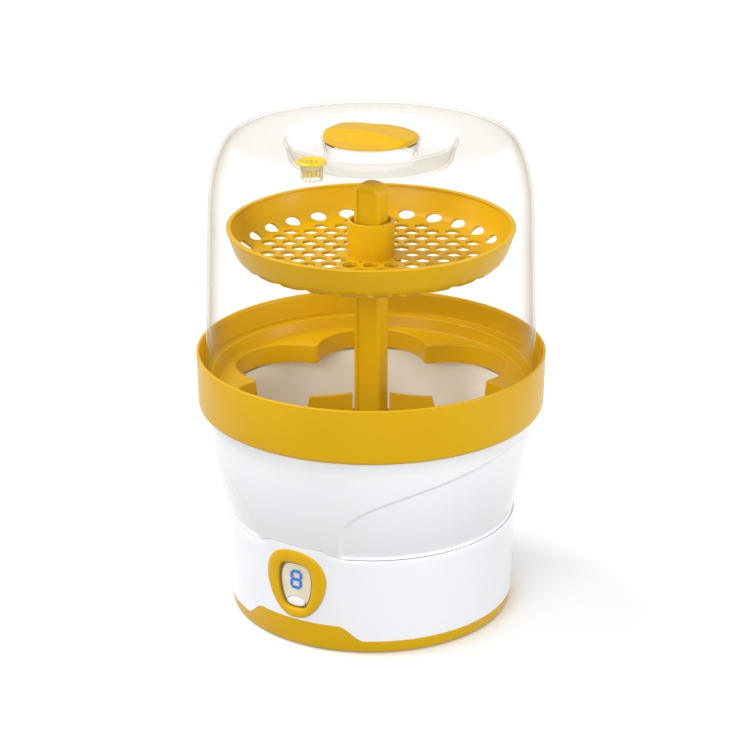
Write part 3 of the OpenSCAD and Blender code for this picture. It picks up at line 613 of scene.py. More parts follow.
@dataclass
class Dome:
    """Clear cover with its finger well, grip, vent cap and sieve."""

    finishes: Finishes
    wall: float = 2.0
    edge_r: float = 113.2
    flare_r: float = 111.7
    wall_r: float = 108.8
    shoulder_w: float = 19.0
    shoulder_h: float = 58.0
    well_r: float = 56.7
    well_depth: float = 14.0
    hub_r: float = 33.7
    hub_drop: float = 2.0
    vent_y: float = 74.0
    ridge: float = 8.0

    def build(self) -> None:
        """Builds every piece of the dome."""
        self.top = top_of("steam_vent") - 1.9
        self.cover()
        self.grip()
        self.vent()
        dress("grip_screw", self.finishes.get("zinc"))

    def shoulder(self, inset: float, steps: int = 40) -> list[Point2]:
        """Shoulder of the cover's wall, from the side up to the flat top."""
        out: list[Point2] = []
        for i in range(steps + 1):
            turn = math.pi / 2 * i / steps
            out.append((self.wall_r - self.shoulder_w + (self.shoulder_w - inset) * math.cos(turn),
                        self.top - self.shoulder_h + (self.shoulder_h - inset) * math.sin(turn)))
        return out

    def skirt(self, inset: float) -> list[Point2]:
        """Flared lower edge of the cover's wall, from the bottom up."""
        low = foot_of("dome_cover")
        join_z = self.top - self.shoulder_h
        out = [(self.edge_r - inset, low), (self.edge_r - inset, low + 8)]
        for i in range(1, 7):
            out.append((lerp(self.edge_r, self.flare_r, ease(i / 6)) - inset, low + 8 + 11 * i / 6))
        for i in range(1, 8):
            out.append((lerp(self.flare_r, self.wall_r, i / 8) - inset, lerp(low + 19, join_z, i / 8)))
        return out

    def cover(self) -> None:
        """Cover: one wall all round, dished at the top into the finger well and the hub."""
        well_z = self.top - self.well_depth
        lip_z = self.top - self.hub_drop + 1.4
        hub_z = lip_z - 2.0
        outside = fillet([
            (72.0, self.top, 0), (self.well_r, self.top, 2.2), (52.6, well_z, 3.0), (29.8, well_z, 2.6),
            (self.hub_r - 0.7, hub_z + 0.6, 1.2), (self.hub_r, lip_z, 0.3),
            (self.hub_r - 1.4, lip_z, 0.3), (self.hub_r - 1.7, hub_z, 0.4), (0.0, hub_z, 0)], 6, False)
        inside = fillet([
            (0.0, hub_z - self.wall, 0), (31.0, hub_z - self.wall, 1.4), (27.6, well_z - self.wall, 2.4),
            (54.4, well_z - self.wall, 3.4), (self.well_r + 0.8, self.top - self.wall, 2.4),
            (72.0, self.top - self.wall, 0)], 6, False)
        profile = self.skirt(0) + self.shoulder(0)[1:] + outside[1:]
        profile += inside[:-1] + self.shoulder(self.wall)[:0:-1] + self.skirt(self.wall)[::-1]
        cover = make_piece("dome_cover_shell", revolve(profile, 256), self.finishes.get("clear"), Body.DOME,
                           ["dome_cover"], 60)
        # Clear plastic lets nearly all light through to what stands under it
        cover.visible_shadow = False
        cover.visible_diffuse = False

    def grip(self) -> None:
        """Grip: a disc with an arched bar across it, its flanks sloping down to the rim."""
        radius = radius_of("lid_grip") - 0.05
        low = foot_of("lid_grip")
        crown = top_of("lid_grip") - 0.1

        def height(x: float, y: float) -> float:
            """Height of the grip's upper face: a crowned top between two flanks that fall from crisp ridges."""
            plate = low + 1.5
            arch = crown - 3.4 * (x / radius) ** 2
            fall = (crown - plate + 0.4) / 15.0
            bar = arch - fall * max(0.0, -y - self.ridge, y - self.ridge - 1.5)
            bar -= 0.5 * mound(y, 3.0, self.ridge - 0.5) * mound(x, 14, 27)
            rim = ease((math.hypot(x, y) / radius - 0.95) / 0.05)
            return max(plate, bar) - rim * 0.6

        rows = [-26.0, -22.0, -18.0, -14.0, -11.0, -9.2, -self.ridge, -6.8, -4.0, 0.0, 4.0, 6.8,
                self.ridge + 1.5, 11.0, 14.0, 18.0, 22.0, 26.0]
        inside = [(x * 1.5, y) for y in rows for x in range(-20, 21) if math.hypot(x * 1.5, y) < radius - 2.6]
        inside += [p for drop in (0.5, 1.0, 1.6) for p in ring(radius - drop, 144)]
        bar = sheet(ring(radius, 144), [], inside, lambda x, y: (x, y, height(x, y)), lambda x, y: (x, y, low))
        make_piece("lid_grip_bar", bar, self.finishes.get("yellow"), Body.DOME,
                   ["lid_grip"], 9)

    def vent(self) -> None:
        """Vent: a dished cap with seven steam holes, over a slotted milky sleeve."""
        cap_r = 9.75
        top = top_of("steam_vent")
        holes = [ring(0.95, 16)] + [ring(0.95, 16, p) for p in ring(3.4, 6)]
        inside = [p for r in (1.8, 4.9, 5.9, 6.6, 7.3, 7.9, 8.7) for p in ring(r, 40)]

        def face(x: float, y: float, drop: float) -> Point3:
            """Place of a point on the cap, dished in the middle and rolled over at the rim."""
            r = math.hypot(x, y)
            dish = 0.9 * mound(r, 5.4, 7.4)
            roll = 0.9 * ease((r - 8.7) / 1.05) ** 2
            return x, y - self.vent_y, top - dish - roll - drop

        cap = sheet(ring(cap_r, 72), holes, inside, lambda x, y: face(x, y, 0), lambda x, y: face(x, y, 0.85))
        neck = shifted(revolve(box_ring(4.8, 6.0, top - 9.8, top - 1.7, 0.2), 48), y=-self.vent_y)
        make_piece("steam_vent_cap", joined(cap, neck), self.finishes.get("vent"), Body.DOME,
                   ["steam_vent"])
        low, high = foot_of("vent_sieve"), top_of("vent_sieve")
        outer, inner, bars = 7.35, 6.2, 16
        parts = [revolve(box_ring(inner, outer, z0, z1, 0.2), 64)
                 for z0, z1 in ((low, low + 1.3), (high - 3.2, high - 0.1))]
        for i in range(bars):
            a = math.tau * i / bars
            loop = [(outer - 0.1, -0.55), (outer - 0.1, 0.55), (inner + 0.1, 0.5), (inner + 0.1, -0.5)]
            turned = [(x * math.cos(a) - y * math.sin(a), x * math.sin(a) + y * math.cos(a)) for x, y in loop]
            parts.append(loft([[(x, y, z) for x, y in turned] for z in (low + 1.0, high - 3.0)], False))
        sleeve = shifted(joined(*parts), y=-self.vent_y)
        make_piece("vent_sieve_sleeve", sleeve, self.finishes.get("milky"), Body.DOME,
                   ["vent_sieve"])


# ---------------------------------------------------------------- tray and stand


@dataclass
class Tray:
    """Dished accessory tray with staggered drain holes and a collar round the post."""

    finishes: Finishes
    wall: float = 2.0
    floor_r: float = 80.0
    pitch: float = 13.8
    hole: float = 5.2
    edge_holes: int = 26
    collar_r: float = 15.7
    bore_r: float = 13.3

    def build(self) -> None:
        """Builds the tray."""
        self.rim_r = radius_of("accessory_tray")
        self.low = foot_of("accessory_tray")
        self.collar_top = top_of("accessory_tray")
        self.rim_z = self.low + 22.4
        # Length along the curved side from the floor to the rim
        self.side = math.hypot(self.rim_r - self.floor_r, self.rim_z - self.low) * 1.06
        reach = self.floor_r + self.side
        holes = [self.drop(x, y) for x, y in self.lattice()]
        for i in range(self.edge_holes):
            holes.append(self.wall_hole(math.tau * (i + 0.5) / self.edge_holes))
        holes += [self.notch(math.radians(turn + side)) for turn in (-60, 120) for side in (-20, 20)]
        inside = [p for k in range(1, 12) for p in ring(self.floor_r + 12 + (self.side - 12) * k / 12, 168)]
        inside += ring(22.5, 48)
        bowl = sheet(ring(reach, 168), [ring(self.collar_r, 64), *holes], inside,
                     lambda x, y: self.place(x, y, self.wall), lambda x, y: self.place(x, y, 0))
        lip = revolve(fillet([(self.rim_r - 3.2, self.rim_z - 1.4, .5), (self.rim_r, self.rim_z - 1.4, .5),
                              (self.rim_r, self.rim_z + 0.0, .6), (self.rim_r - 3.2, self.rim_z + 0.0, .6)], 4))
        collar = revolve(fillet([(self.bore_r, self.low, .3), (self.collar_r + 0.2, self.low, .3),
                                 (self.collar_r + 0.2, self.low + 3.4, 1.2), (self.collar_r, self.collar_top, .7),
                                 (self.bore_r, self.collar_top, .7)], 4), 96)
        make_piece("accessory_tray_dish", joined(bowl, lip, collar), self.finishes.get("yellow"), Body.TRAY,
                   ["accessory_tray"])

    def lattice(self) -> list[Point2]:
        """Middles of the drain holes on the flat floor."""
        out: list[Point2] = []
        for i in range(-7, 8):
            for j in range(-7, 8):
                x = i * self.pitch * math.cos(math.radians(30))
                y = i * self.pitch * 0.5 + j * self.pitch
                if 23.0 < math.hypot(x, y) < 76.0:
                    out.append((x, y))
        return out

    def drop(self, x: float, y: float) -> list[Point2]:
        """Outline of a drain hole: a hexagon with well-rounded corners."""
        out: list[Point2] = []
        for k in range(18):
            a = math.tau * k / 18
            size = self.hole * (1 + 0.07 * math.cos(6 * a))
            out.append((x + size * math.cos(a), y + size * math.sin(a)))
        return out

    def wall_hole(self, turn: float) -> list[Point2]:
        """Outline of a hole that climbs from the floor's edge up the dished side."""
        middle = self.floor_r + 6.0
        out: list[Point2] = []
        for k in range(18):
            a = math.tau * k / 18
            along = 6.0 * math.cos(a)
            across = (5.6 + 0.36 * along) * math.sin(a)
            r = middle + along
            swing = turn + across / middle
            out.append((r * math.cos(swing), r * math.sin(swing)))
        return out

    def notch(self, turn: float) -> list[Point2]:
        """Outline of a small triangular opening at the collar's foot."""
        tip, foot = self.collar_r + 5.2, self.collar_r + 1.4
        corners = [(tip, 0.0), (foot, 2.2), (foot, -2.2)]
        return [(x * math.cos(turn) - y * math.sin(turn), x * math.sin(turn) + y * math.cos(turn))
                for x, y in fillet([(x, y, 0.6) for x, y in corners], 3)]

    def place(self, x: float, y: float, lift: float) -> Point3:
        """Place in space of a point of the flat pattern, lifted by the wall's thickness."""
        s = math.hypot(x, y)
        if s <= self.floor_r:
            return x, y, self.low + lift
        share = (s - self.floor_r) / self.side
        # The side sweeps up in a curve that steepens to a steady slope
        angle = math.radians(66) * ease(min(1.0, share * 1.9)) + math.radians(8) * share
        steps = 12
        r, z = self.floor_r, self.low
        for k in range(steps):
            part = share * (k + 0.5) / steps
            bend = math.radians(62) * ease(min(1.0, part * 1.9)) + math.radians(12) * part
            r += math.cos(bend) * self.side * share / steps
            z += math.sin(bend) * self.side * share / steps
        r -= math.sin(angle) * lift
        z += math.cos(angle) * lift
        r = min(r, self.rim_r - 0.4)
        z = min(z, self.rim_z - 0.3)
        return x / s * r, y / s * r, z


@dataclass
class Stand:
    """Centre post with recessed panels and a scalloped flange, over the finned foot."""

    finishes: Finishes
    width: float = 20.0
    depth: float = 14.0
    corner: float = 2.4
    panel: float = 6.2
    sink: float = 1.1
    crown: float = 7.5

    def build(self) -> None:
        """Builds the post and dresses the foot."""
        low, top = foot_of("centre_post"), top_of("centre_post")
        flange_top = foot_of("accessory_tray") - 0.5
        body = loft([self.section(z, top, flange_top) for z in self.levels(low, top, flange_top)], False)
        make_piece("centre_post_column", joined(body, self.flange(flange_top)), self.finishes.get("yellow"),
                   Body.STAND, ["centre_post"], 42)
        dress("stand_foot", self.finishes.get("yellow"), 0.5)

    def levels(self, low: float, top: float, flange_top: float) -> list[float]:
        """Heights of the post's sections, closer where its shape changes."""
        out = [low, low + 0.6, 100.4, 101.0, 108.0, 112.0, flange_top - 9.6, flange_top - 9.0,
               flange_top + 4.0, flange_top + 4.6, top - 14, top - self.crown]
        for i in range(1, 15):
            out.append(top - self.crown + self.crown * math.sin(math.pi / 2 * i / 14.3))
        return out

    def section(self, z: float, top: float, flange_top: float) -> list[Point3]:
        """Outline of the post at a height."""
        up = max(0.0, z - (top - self.crown)) / self.crown
        narrow = self.crown * (1 - math.sqrt(max(0.0, 1 - up * up)))
        half_w = self.width / 2 - narrow
        half_d = self.depth / 2 - narrow * 0.28
        in_low = 100.6 < z < flange_top - 9.2
        in_high = flange_top + 4.2 < z
        sink = self.sink if in_low or in_high else 0.0
        if z > top - self.crown:
            sink *= 1 - ease(up * 1.25)
        panel = min(self.panel, max(0.4, half_w - 3.4))
        corner = min(self.corner, half_w * 0.8)
        edge: list[Point2] = []
        for sx, sy in ((1, 1), (-1, 1), (-1, -1), (1, -1)):
            arc = [(half_w - corner + corner * math.cos(t), half_d - corner + corner * math.sin(t))
                   for t in (math.pi / 2 * k / 5 for k in range(6))]
            arc += [(panel + 0.5, half_d), (panel, half_d - sink), (panel * 0.5, half_d - sink)]
            if sx * sy < 0:
                arc.reverse()
            edge += [(x * sx, y * sy) for x, y in arc]
        return [(x, y, z) for x, y in edge]

    def flange(self, top: float) -> Mesh:
        """Six-lobed flange that carries the tray."""
        sections = []
        for i in range(144):
            a = math.tau * i / 144
            reach = 17.0 + 5.2 * abs(math.cos(3 * a)) ** 0.6
            profile = fillet([(9.0, top - 5.6, 0), (14.0, top - 5.6, 1.0), (reach - 1.0, top - 3.4, .8),
                              (reach, top, .5), (9.0, top, 0)], 3)
            sections.append(swung(profile, a))
        return loft(sections)


# ---------------------------------------------------------------- rack


@dataclass
class Rack:
    """Bottle rack: outer band, ledge for the dome and six bays with their sleeve."""

    finishes: Finishes
    bays: int = 6
    centre_r: float = 63.5
    bay_r: float = 37.5
    cusp_round: float = 8.4
    cusp_reach: float = 5.4
    cusp_cut: float = 2.4
    cusp_limit: float = 6.0
    ledge_z: float = 167.2
    floor_z: float = 158.4

    def build(self) -> None:
        """Builds the rack as one moulding."""
        steps = 432
        angles = [math.tau * i / steps for i in range(steps)]
        wall = loft([swung(self.profile(a), a) for a in angles])
        make_piece("bottle_rack_ring", wall, self.finishes.get("yellow"), Body.RACK,
                   ["bottle_rack"], 45)

    def bay_edge(self, turn: float) -> float:
        """Distance from the middle to the bays' edge, with the cusps between bays rounded off."""
        step = math.tau / self.bays
        off = abs((turn + step / 2) % step - step / 2)
        drop = self.centre_r * math.sin(off)
        circle = self.centre_r * math.cos(off) + math.sqrt(max(0.0, self.bay_r ** 2 - drop ** 2))
        mid_off = step / 2 - off
        cusp_r = self.centre_r * math.cos(step / 2) + math.sqrt(
            self.bay_r ** 2 - (self.centre_r * math.sin(step / 2)) ** 2)
        if mid_off * cusp_r >= self.cusp_reach:
            return circle
        blunt = cusp_r + self.cusp_cut + (cusp_r * mid_off) ** 2 / (2 * self.cusp_round)
        return max(circle, min(blunt, circle + self.cusp_limit))

    def profile(self, turn: float) -> list[Point2]:
        """Outline of the rack's wall at an angle, from the band's foot round to the sleeve."""
        outer = radius_of("bottle_rack") - 0.02
        top = top_of("bottle_rack")
        foot = foot_of("bottle_rack") + 1.1
        edge = self.bay_edge(turn)
        low = foot - 0.5
        return fillet([
            (outer - 7.0, foot, 0.0), (outer - 0.8, foot, 7.4), (outer, top, 0.8), (outer - 1.9, top, 0.7),
            (outer - 2.7, top - 2.0, 0.6), (outer - 2.9, self.ledge_z, 0.8), (107.3, self.ledge_z, 1.2),
            (105.4, self.floor_z + 0.3, 1.6), (edge + 1.2, self.floor_z, 1.1), (edge, low + 0.2, 0.5),
            (edge + 1.9, low + 0.2, 0.5), (edge + 2.6, self.floor_z - 2.2, 0.6), (106.2, self.floor_z - 2.2, 0.4),
            (107.6, 149.0, 0.0), (107.6, low - 0.4, 0.3), (109.6, low - 0.4, 0.3), (109.6, self.ledge_z - 2.2, 0.3),
            (outer - 3.0, self.ledge_z - 2.2, 0.6), (outer - 3.0, foot + 3.0, 3.0), (outer - 7.0, foot + 2.4, 0.0),
        ], 5)


# ---------------------------------------------------------------- casing


@dataclass
class Casing:
    """White bowl and skirt, yellow foot, rubber feet and cord inlet."""

    finishes: Finishes
    seam_z: float = 69.5
    skirt_top_r: float = 99.8
    foot_top_r: float = 98.1
    trim_z: float = 9.8
    hump_z: float = 20.0
    hood_z: float = 75.0
    bowl_r: float = 111.0
    bulge_z: float = 136.0
    arc_r: float = 180.0
    shell: float = 2.4
    recess: float = 1.3
    hood_flat: float = 9.0
    hood_reach: float = 20.0
    hump_flat: float = 17.5
    hump_reach: float = 28.0

    def build(self) -> None:
        """Builds the casing's shells and dresses the small parts."""
        self.bowl()
        self.skirt()
        self.foot()
        dress("rubber_feet", self.finishes.get("rubber"), 0.3)
        dress("case_screws", self.finishes.get("zinc"))
        dress("body_screws", self.finishes.get("zinc"))
        self.gland()

    def skirt_r(self, z: float) -> float:
        """Radius of the skirt's outer face."""
        return lerp(self.foot_top_r, self.skirt_top_r, (z - self.trim_z) / (self.seam_z - self.trim_z))

    def bowl_side(self, z: float) -> float:
        """Radius of the bowl's outer face below its widest place."""
        return self.bowl_r - self.arc_r + math.sqrt(self.arc_r ** 2 - (self.bulge_z - z) ** 2)

    def hood_lift(self, turn: float) -> float:
        """Rise of the seam over the display, by angle in degrees from the front."""
        return (self.hood_z - self.seam_z) * mound(turn, self.hood_flat, self.hood_reach)

    def side_field(self, turn: float, z: float) -> float:
        """Share, 0 to 1, by which a bowl point lies in a sunk side field, below the crease."""
        off = abs(turn)
        if off > 90:
            off = 180 - off
        rise = min(1.0, max(0.0, (z - 70) / 66))
        crease = 19 + 71 * rise ** 3.6
        return ease((off - crease) * self.bowl_r * math.pi / 180 / 1.5 + 0.5)

    def bowl(self) -> None:
        """Bowl: full side with two creases that part the front field from the sunk side fields."""
        steps = 480
        rows = 64
        rim = top_of("upper_shell")
        sections = []
        for i in range(steps):
            a = math.tau * i / steps
            turn = math.degrees(a) + 90
            turn = (turn + 180) % 360 - 180
            low = self.seam_z + 0.3 + self.hood_lift(turn)
            outer: list[Point2] = []
            for k in range(rows + 1):
                z = lerp(low, self.bulge_z, k / rows)
                fade = ease((z - low) / 2) * ease((self.bulge_z - z) / 3)
                outer.append((self.bowl_side(z) - self.recess * self.side_field(turn, z) * fade, z))
            rim_part = [(self.bowl_r + out, z) for out, z in (
                (0.9, rim - 3.4), (1.3, rim - 0.8), (1.0, rim - 0.1), (-0.6, rim - 0.1), (-0.9, rim - 1.2),
                (-1.6, self.bulge_z))]
            inner = [(self.bowl_side(z) - self.shell, z) for z in (128.0, 110.0, 92.0)]
            tail = [(self.bowl_side(low) - self.shell, low)]
            sections.append(swung(outer + rim_part + inner + tail, a))
        shoulder = revolve([(103.6, 140.9), (103.6, 139), (109.2, 135), (109.9, 140.9)])
        flange = revolve([(98.0, self.seam_z + 0.3), (98.0, self.seam_z + 2.6), (84, self.seam_z + 2.6),
                          (84, self.seam_z + 0.3)])
        mesh = joined(loft(sections), shoulder, flange)
        make_piece("bowl_shell", mesh, self.finishes.get("white"), Body.BASE,
                   ["upper_shell"], 50)

    def skirt(self) -> None:
        """Skirt: wall from the wavy foot to the seam, with the hood and the display's opening."""
        opening = [(math.degrees(math.asin(x / 98.9)), z) for x, z in egg(15.0, 18.7, 45.6, 0.1, 0.5, 72)]
        low_edge = [(t, self.wave(t) + 0.25) for t in (i * 0.75 - 180 for i in range(481))]
        top_edge = [(t, self.seam_z + self.hood_lift(t)) for t in (180 - i * 0.75 for i in range(481))]
        inside = [(i * 1.5 - 178.5, z) for i in range(239) for z in (24.0, 32.0, 44.0, 56.0, 64.0, 68.2, 68.9)
                  if not within(i * 1.5 - 178.5, z, egg(9.6, 20.4, 45.6, 0.1, 0.5, 24))]
        inlet = [(180 + x / 98.6 * 57.3, 24 + y) for x, y in ring(6.2, 24)]
        inlet = [(x - 360 if x > 180 else x, y) for x, y in inlet]

        def wall(turn: float, z: float, inset: float) -> Point3:
            """Place of a pattern point on the skirt's wall."""
            swell = mound(turn, self.hood_flat, self.hood_reach) * ease((z - self.seam_z + 3) / 5.5)
            edge = 0.5 * ease((z - (self.seam_z + self.hood_lift(turn)) + 0.9) / 0.9)
            r = self.skirt_r(min(z, self.seam_z)) + swell - edge - inset
            a = math.radians(turn - 90)
            return r * math.cos(a), r * math.sin(a), z

        mesh = sheet(low_edge + top_edge, [opening], inside, lambda t, z: wall(t, z, 0),
                     lambda t, z: wall(t, z, self.shell), seam=180.0)
        ledge = revolve([(self.skirt_top_r - 1.4, self.seam_z - 2.2), (self.skirt_top_r - 1.4, self.seam_z),
                         (84, self.seam_z), (84, self.seam_z - 2.2)])
        make_piece("skirt_shell", joined(mesh, ledge), self.finishes.get("white"), Body.BASE,
                   ["lower_shell"], 50)

    def wave(self, turn: float) -> float:
        """Height of the foot's upper edge, which humps under the display."""
        return self.trim_z + (self.hump_z - self.trim_z) * mound(turn, self.hump_flat, self.hump_reach)

    def foot(self) -> None:
        """Foot: wavy rim over a flat floor with slots, counterbores and recesses."""
        steps = 480
        low = foot_of("bottom_cover")
        sections = []
        for i in range(steps):
            a = math.tau * i / steps
            turn = (math.degrees(a) + 270) % 360 - 180
            high = self.wave(turn)
            foot_r = radius_of("bottom_cover") - 1.2
            sections.append(swung(fillet([
                (foot_r - 5, low, 0), (foot_r, low, 1.6), (self.skirt_r(high), high, 0.5),
                (self.skirt_r(high) - self.shell, high, 0.4), (foot_r - self.shell, low + 2.4, 0.5),
                (foot_r - 5, low + 2.4, 0)], 5), a))
        rim = loft(sections)
        holes = [ring(8.3, 40, p) for p in ring(82, 4)] + [ring(3.6, 28, p) for p in ring(84, 4, turn=45)]
        for side in (-1, 1):
            for k in range(7):
                x, y = side * 68, -22.5 + k * 8
                if k != 3 or abs(x) + 9 < 73:
                    holes.append(fillet([(x - 5, y - 1.5, 1.4), (x + 5, y - 1.5, 1.4), (x + 5, y + 1.5, 1.4),
                                         (x - 5, y + 1.5, 1.4)], 4))
        floor_r = radius_of("bottom_cover") - 6.2
        floor = sheet(ring(floor_r, 160), holes, [p for r in (10.0, 30.0, 50.0) for p in ring(r, 24)],
                      lambda x, y: (x, y, low + 2.4), lambda x, y: (x, y, low))
        cup = revolve([(8.3, low), (8.3, low + 2.3), (0.0, low + 2.3), (0.0, low + 1.3), (8.0, low + 1.3),
                       (8.0, low)], 40)
        well = revolve([(3.6, low), (5.4, low), (5.4, 8.9), (1.7, 8.9), (1.7, low + 5.2), (3.6, low + 5.2)], 28)
        cups = [shifted(cup, *c) for c in ring(82, 4)]
        wells = [shifted(well, *c) for c in ring(84, 4, turn=45)]
        make_piece("foot_cover", joined(rim, floor, *cups, *wells), self.finishes.get("yellow"), Body.BASE,
                   ["bottom_cover"], 45)

    def gland(self) -> None:
        """Ribbed rubber gland where a cord would enter at the back."""
        low, high = cad_box("cord_gland")
        y0, y1 = low.y, high.y
        mid_z = (low.z + high.z) / 2
        points = [(3.2, y0, .2), (8.0, y0, .4), (8.0, y0 + 3, .4), (6.0, y0 + 3, .2), (6.0, y1 - 9.9, .2),
                  (8.0, y1 - 9.9, .5), (8.0, y1 - 7.6, .5), (5.6, y1 - 7.4, .2)]
        for k in range(3):
            y = y1 - 6.6 + k * 2.2
            points += [(5.6 - 0.35 * k, y, .2), (4.7 - 0.35 * k, y + .3, .1), (4.7 - 0.35 * k, y + .9, .1),
                       (5.5 - 0.35 * k, y + 1.2, .2)]
        points += [(4.4, y1, .3), (3.2, y1, .3)]
        mesh = moved(revolve(fillet(points, 3), 64), lambda p: (p[0], p[2], p[1] + mid_z))
        make_piece("cord_gland_boot", mesh, self.finishes.get("rubber"), Body.BASE, ["cord_gland"])


# ---------------------------------------------------------------- display


@dataclass
class Display:
    """Egg-shaped surround, sunk panel, seven-segment digit and oval key."""

    finishes: Finishes
    half_w: float = 22.3
    half_h: float = 24.5
    mid_z: float = 47.0
    window_w: float = 12.8
    window_h: float = 16.5
    window_z: float = 45.6
    outer_lean: float = 0.17
    window_lean: float = 0.1
    window_power: float = 0.5
    panel_gap: float = 0.25
    key_gap: float = 0.4
    key_power: float = 0.85
    surround_r: float = 101.3
    segment: float = 2.1
    slant: float = 0.05

    def build(self) -> None:
        """Builds the display's pieces."""
        self.surround()
        self.panel()
        self.digit()
        self.key()

    def surround(self) -> None:
        """Surround: a rounded yellow frame bent to the skirt, with a sunk inner wall."""
        outer = egg(self.half_w, self.half_h, self.mid_z, self.outer_lean)
        inner = egg(self.window_w, self.window_h, self.window_z, self.window_lean, self.window_power)
        shares = [0.0, 0.03, 0.08, 0.15, 0.3, 0.5, 0.7, 0.84, 0.92, 0.97, 1.0]
        heights = [0.0, 0.55, 0.9, 1.15, 1.4, 1.5, 1.42, 1.2, 0.9, 0.5, 0.0]
        sections = []
        for (x0, z0), (x1, z1) in zip(outer, inner, strict=True):
            section = []
            for share, height in zip(shares, heights, strict=True):
                x, z = lerp(x0, x1, share), lerp(z0, z1, share)
                section.append(self.bent(x, z, self.surround_r - 1.1 + height * 0.75))
            section.append((x1, -95.2, z1))
            back_x, back_z = x1 + (x0 - x1) * 0.16, z1 + (z0 - z1) * 0.16
            section.append((back_x, -95.2, back_z))
            section.append(self.bent(back_x, back_z, self.surround_r - 1.35))
            section.append(self.bent(x0, z0, self.surround_r - 1.35))
            sections.append(section)
        make_piece("display_surround", loft(sections), self.finishes.get("yellow"), Body.BASE,
                   ["display_bezel"], 50)

    def bent(self, x: float, z: float, r: float) -> Point3:
        """Place of an upright point on a cylinder round the casing."""
        return x, -math.sqrt(r * r - x * x), z

    def oval(self, half_w: float, half_h: float, mid_z: float) -> list[Point2]:
        """Outline of the key, fuller at its ends than an ellipse."""
        turns = [math.tau * k / 48 for k in range(48)]
        return [(half_w * math.copysign(abs(math.cos(a)) ** self.key_power, math.cos(a)),
                 mid_z + half_h * math.sin(a)) for a in turns]

    def panel(self) -> None:
        """Panel: flat face with the key's opening, inside a raised bead coloured dark as painted shade."""
        front, back = (v.y for v in cad_box("display_window"))
        key_low, key_high = cad_box("start_button")
        slot_w = (key_high.x - key_low.x) / 2 + self.key_gap
        slot_h = (key_high.z - key_low.z) / 2 + self.key_gap
        slot_z = (key_high.z + key_low.z) / 2

        def outline(inset: float) -> list[Point2]:
            """Outline of the panel, drawn in by an inset."""
            return egg(self.window_w - inset, self.window_h - inset, self.window_z, self.window_lean,
                       self.window_power)

        slot = self.oval(slot_w, slot_h, slot_z)
        plate = sheet(outline(self.panel_gap), [slot], [], lambda x, z: (x, front + self.panel_gap, z),
                      lambda x, z: (x, back, z))
        bead = [[(x, front + drop, z) for x, z in outline(inset)]
                for inset, drop in ((0.25, 0.3), (0.3, 0.08), (0.7, 0.0), (1.3, 0.04), (1.7, 0.24), (1.7, 0.3))]
        make_piece("display_panel", plate, self.finishes.get("panel"), Body.BASE,
                   ["display_window"])
        # The bead's raised shape is real; its dark brown colour is painted shade from the surround's sunk inner
        # wall
        make_piece("display_bead", loft(bead), self.finishes.get("bead"), Body.BASE,
                   ["display_window"])

    def digit(self) -> None:
        """Digit: seven bars with pointed ends, leaning a little."""
        low, high = cad_box("digit_segments")
        width, height = high.x - low.x, high.z - low.z
        mid_z = (high.z + low.z) / 2
        y0, y1 = low.y, high.y
        half = self.segment / 2
        parts = []
        span, rise = width - self.segment, height - self.segment
        bars = [(0.0, k * rise / 2, span, False) for k in (-1, 0, 1)]
        bars += [(sx * span / 2, sz * rise / 4, rise / 2, True) for sx in (-1, 1) for sz in (-1, 1)]
        for x, z, length, upright in bars:
            run = length / 2 - 0.15
            loop = [(-run, 0), (-run + half, -half), (run - half, -half), (run, 0), (run - half, half),
                    (-run + half, half)]
            if upright:
                loop = [(-b, a) for a, b in loop]
            placed = [(x + a + self.slant * (z + b), mid_z + z + b) for a, b in loop]
            placed = [(min(max(a, low.x), high.x), b) for a, b in placed]
            parts.append(loft([[(a, y, b) for a, b in placed] for y in (y0, y1)], False))
        make_piece("digit_bars", joined(*parts), self.finishes.get("blue"), Body.BASE,
                   ["digit_segments"])

    def key(self) -> None:
        """Key: an oval with a softly domed face, on its stem."""
        low, high = cad_box("start_button")
        mid_z = (low.z + high.z) / 2
        half_w, half_h = (high.x - low.x) / 2, (high.z - low.z) / 2
        front, back = low.y, low.y + 3.0
        sections = []
        for share, y in ((1.0, back), (1.0, front + 1.0), (0.98, front + 0.55), (0.92, front + 0.25),
                         (0.8, front + 0.1), (0.55, front + 0.02), (0.25, front)):
            loop = self.oval(half_w * share, half_h * share, mid_z)
            sections.append([(x, y, z) for x, z in loop])
        stem = moved(revolve([(0.0, -high.y), (2.2, -high.y), (2.2, -back + 0.2), (0.0, -back + 0.2)], 32),
                     lambda p: (p[0], -p[2], p[1] + mid_z))
        make_piece("start_key", joined(loft(sections, False), stem), self.finishes.get("key"), Body.BUTTON,
                   ["start_button"])


# ---------------------------------------------------------------- tank, heater and boards


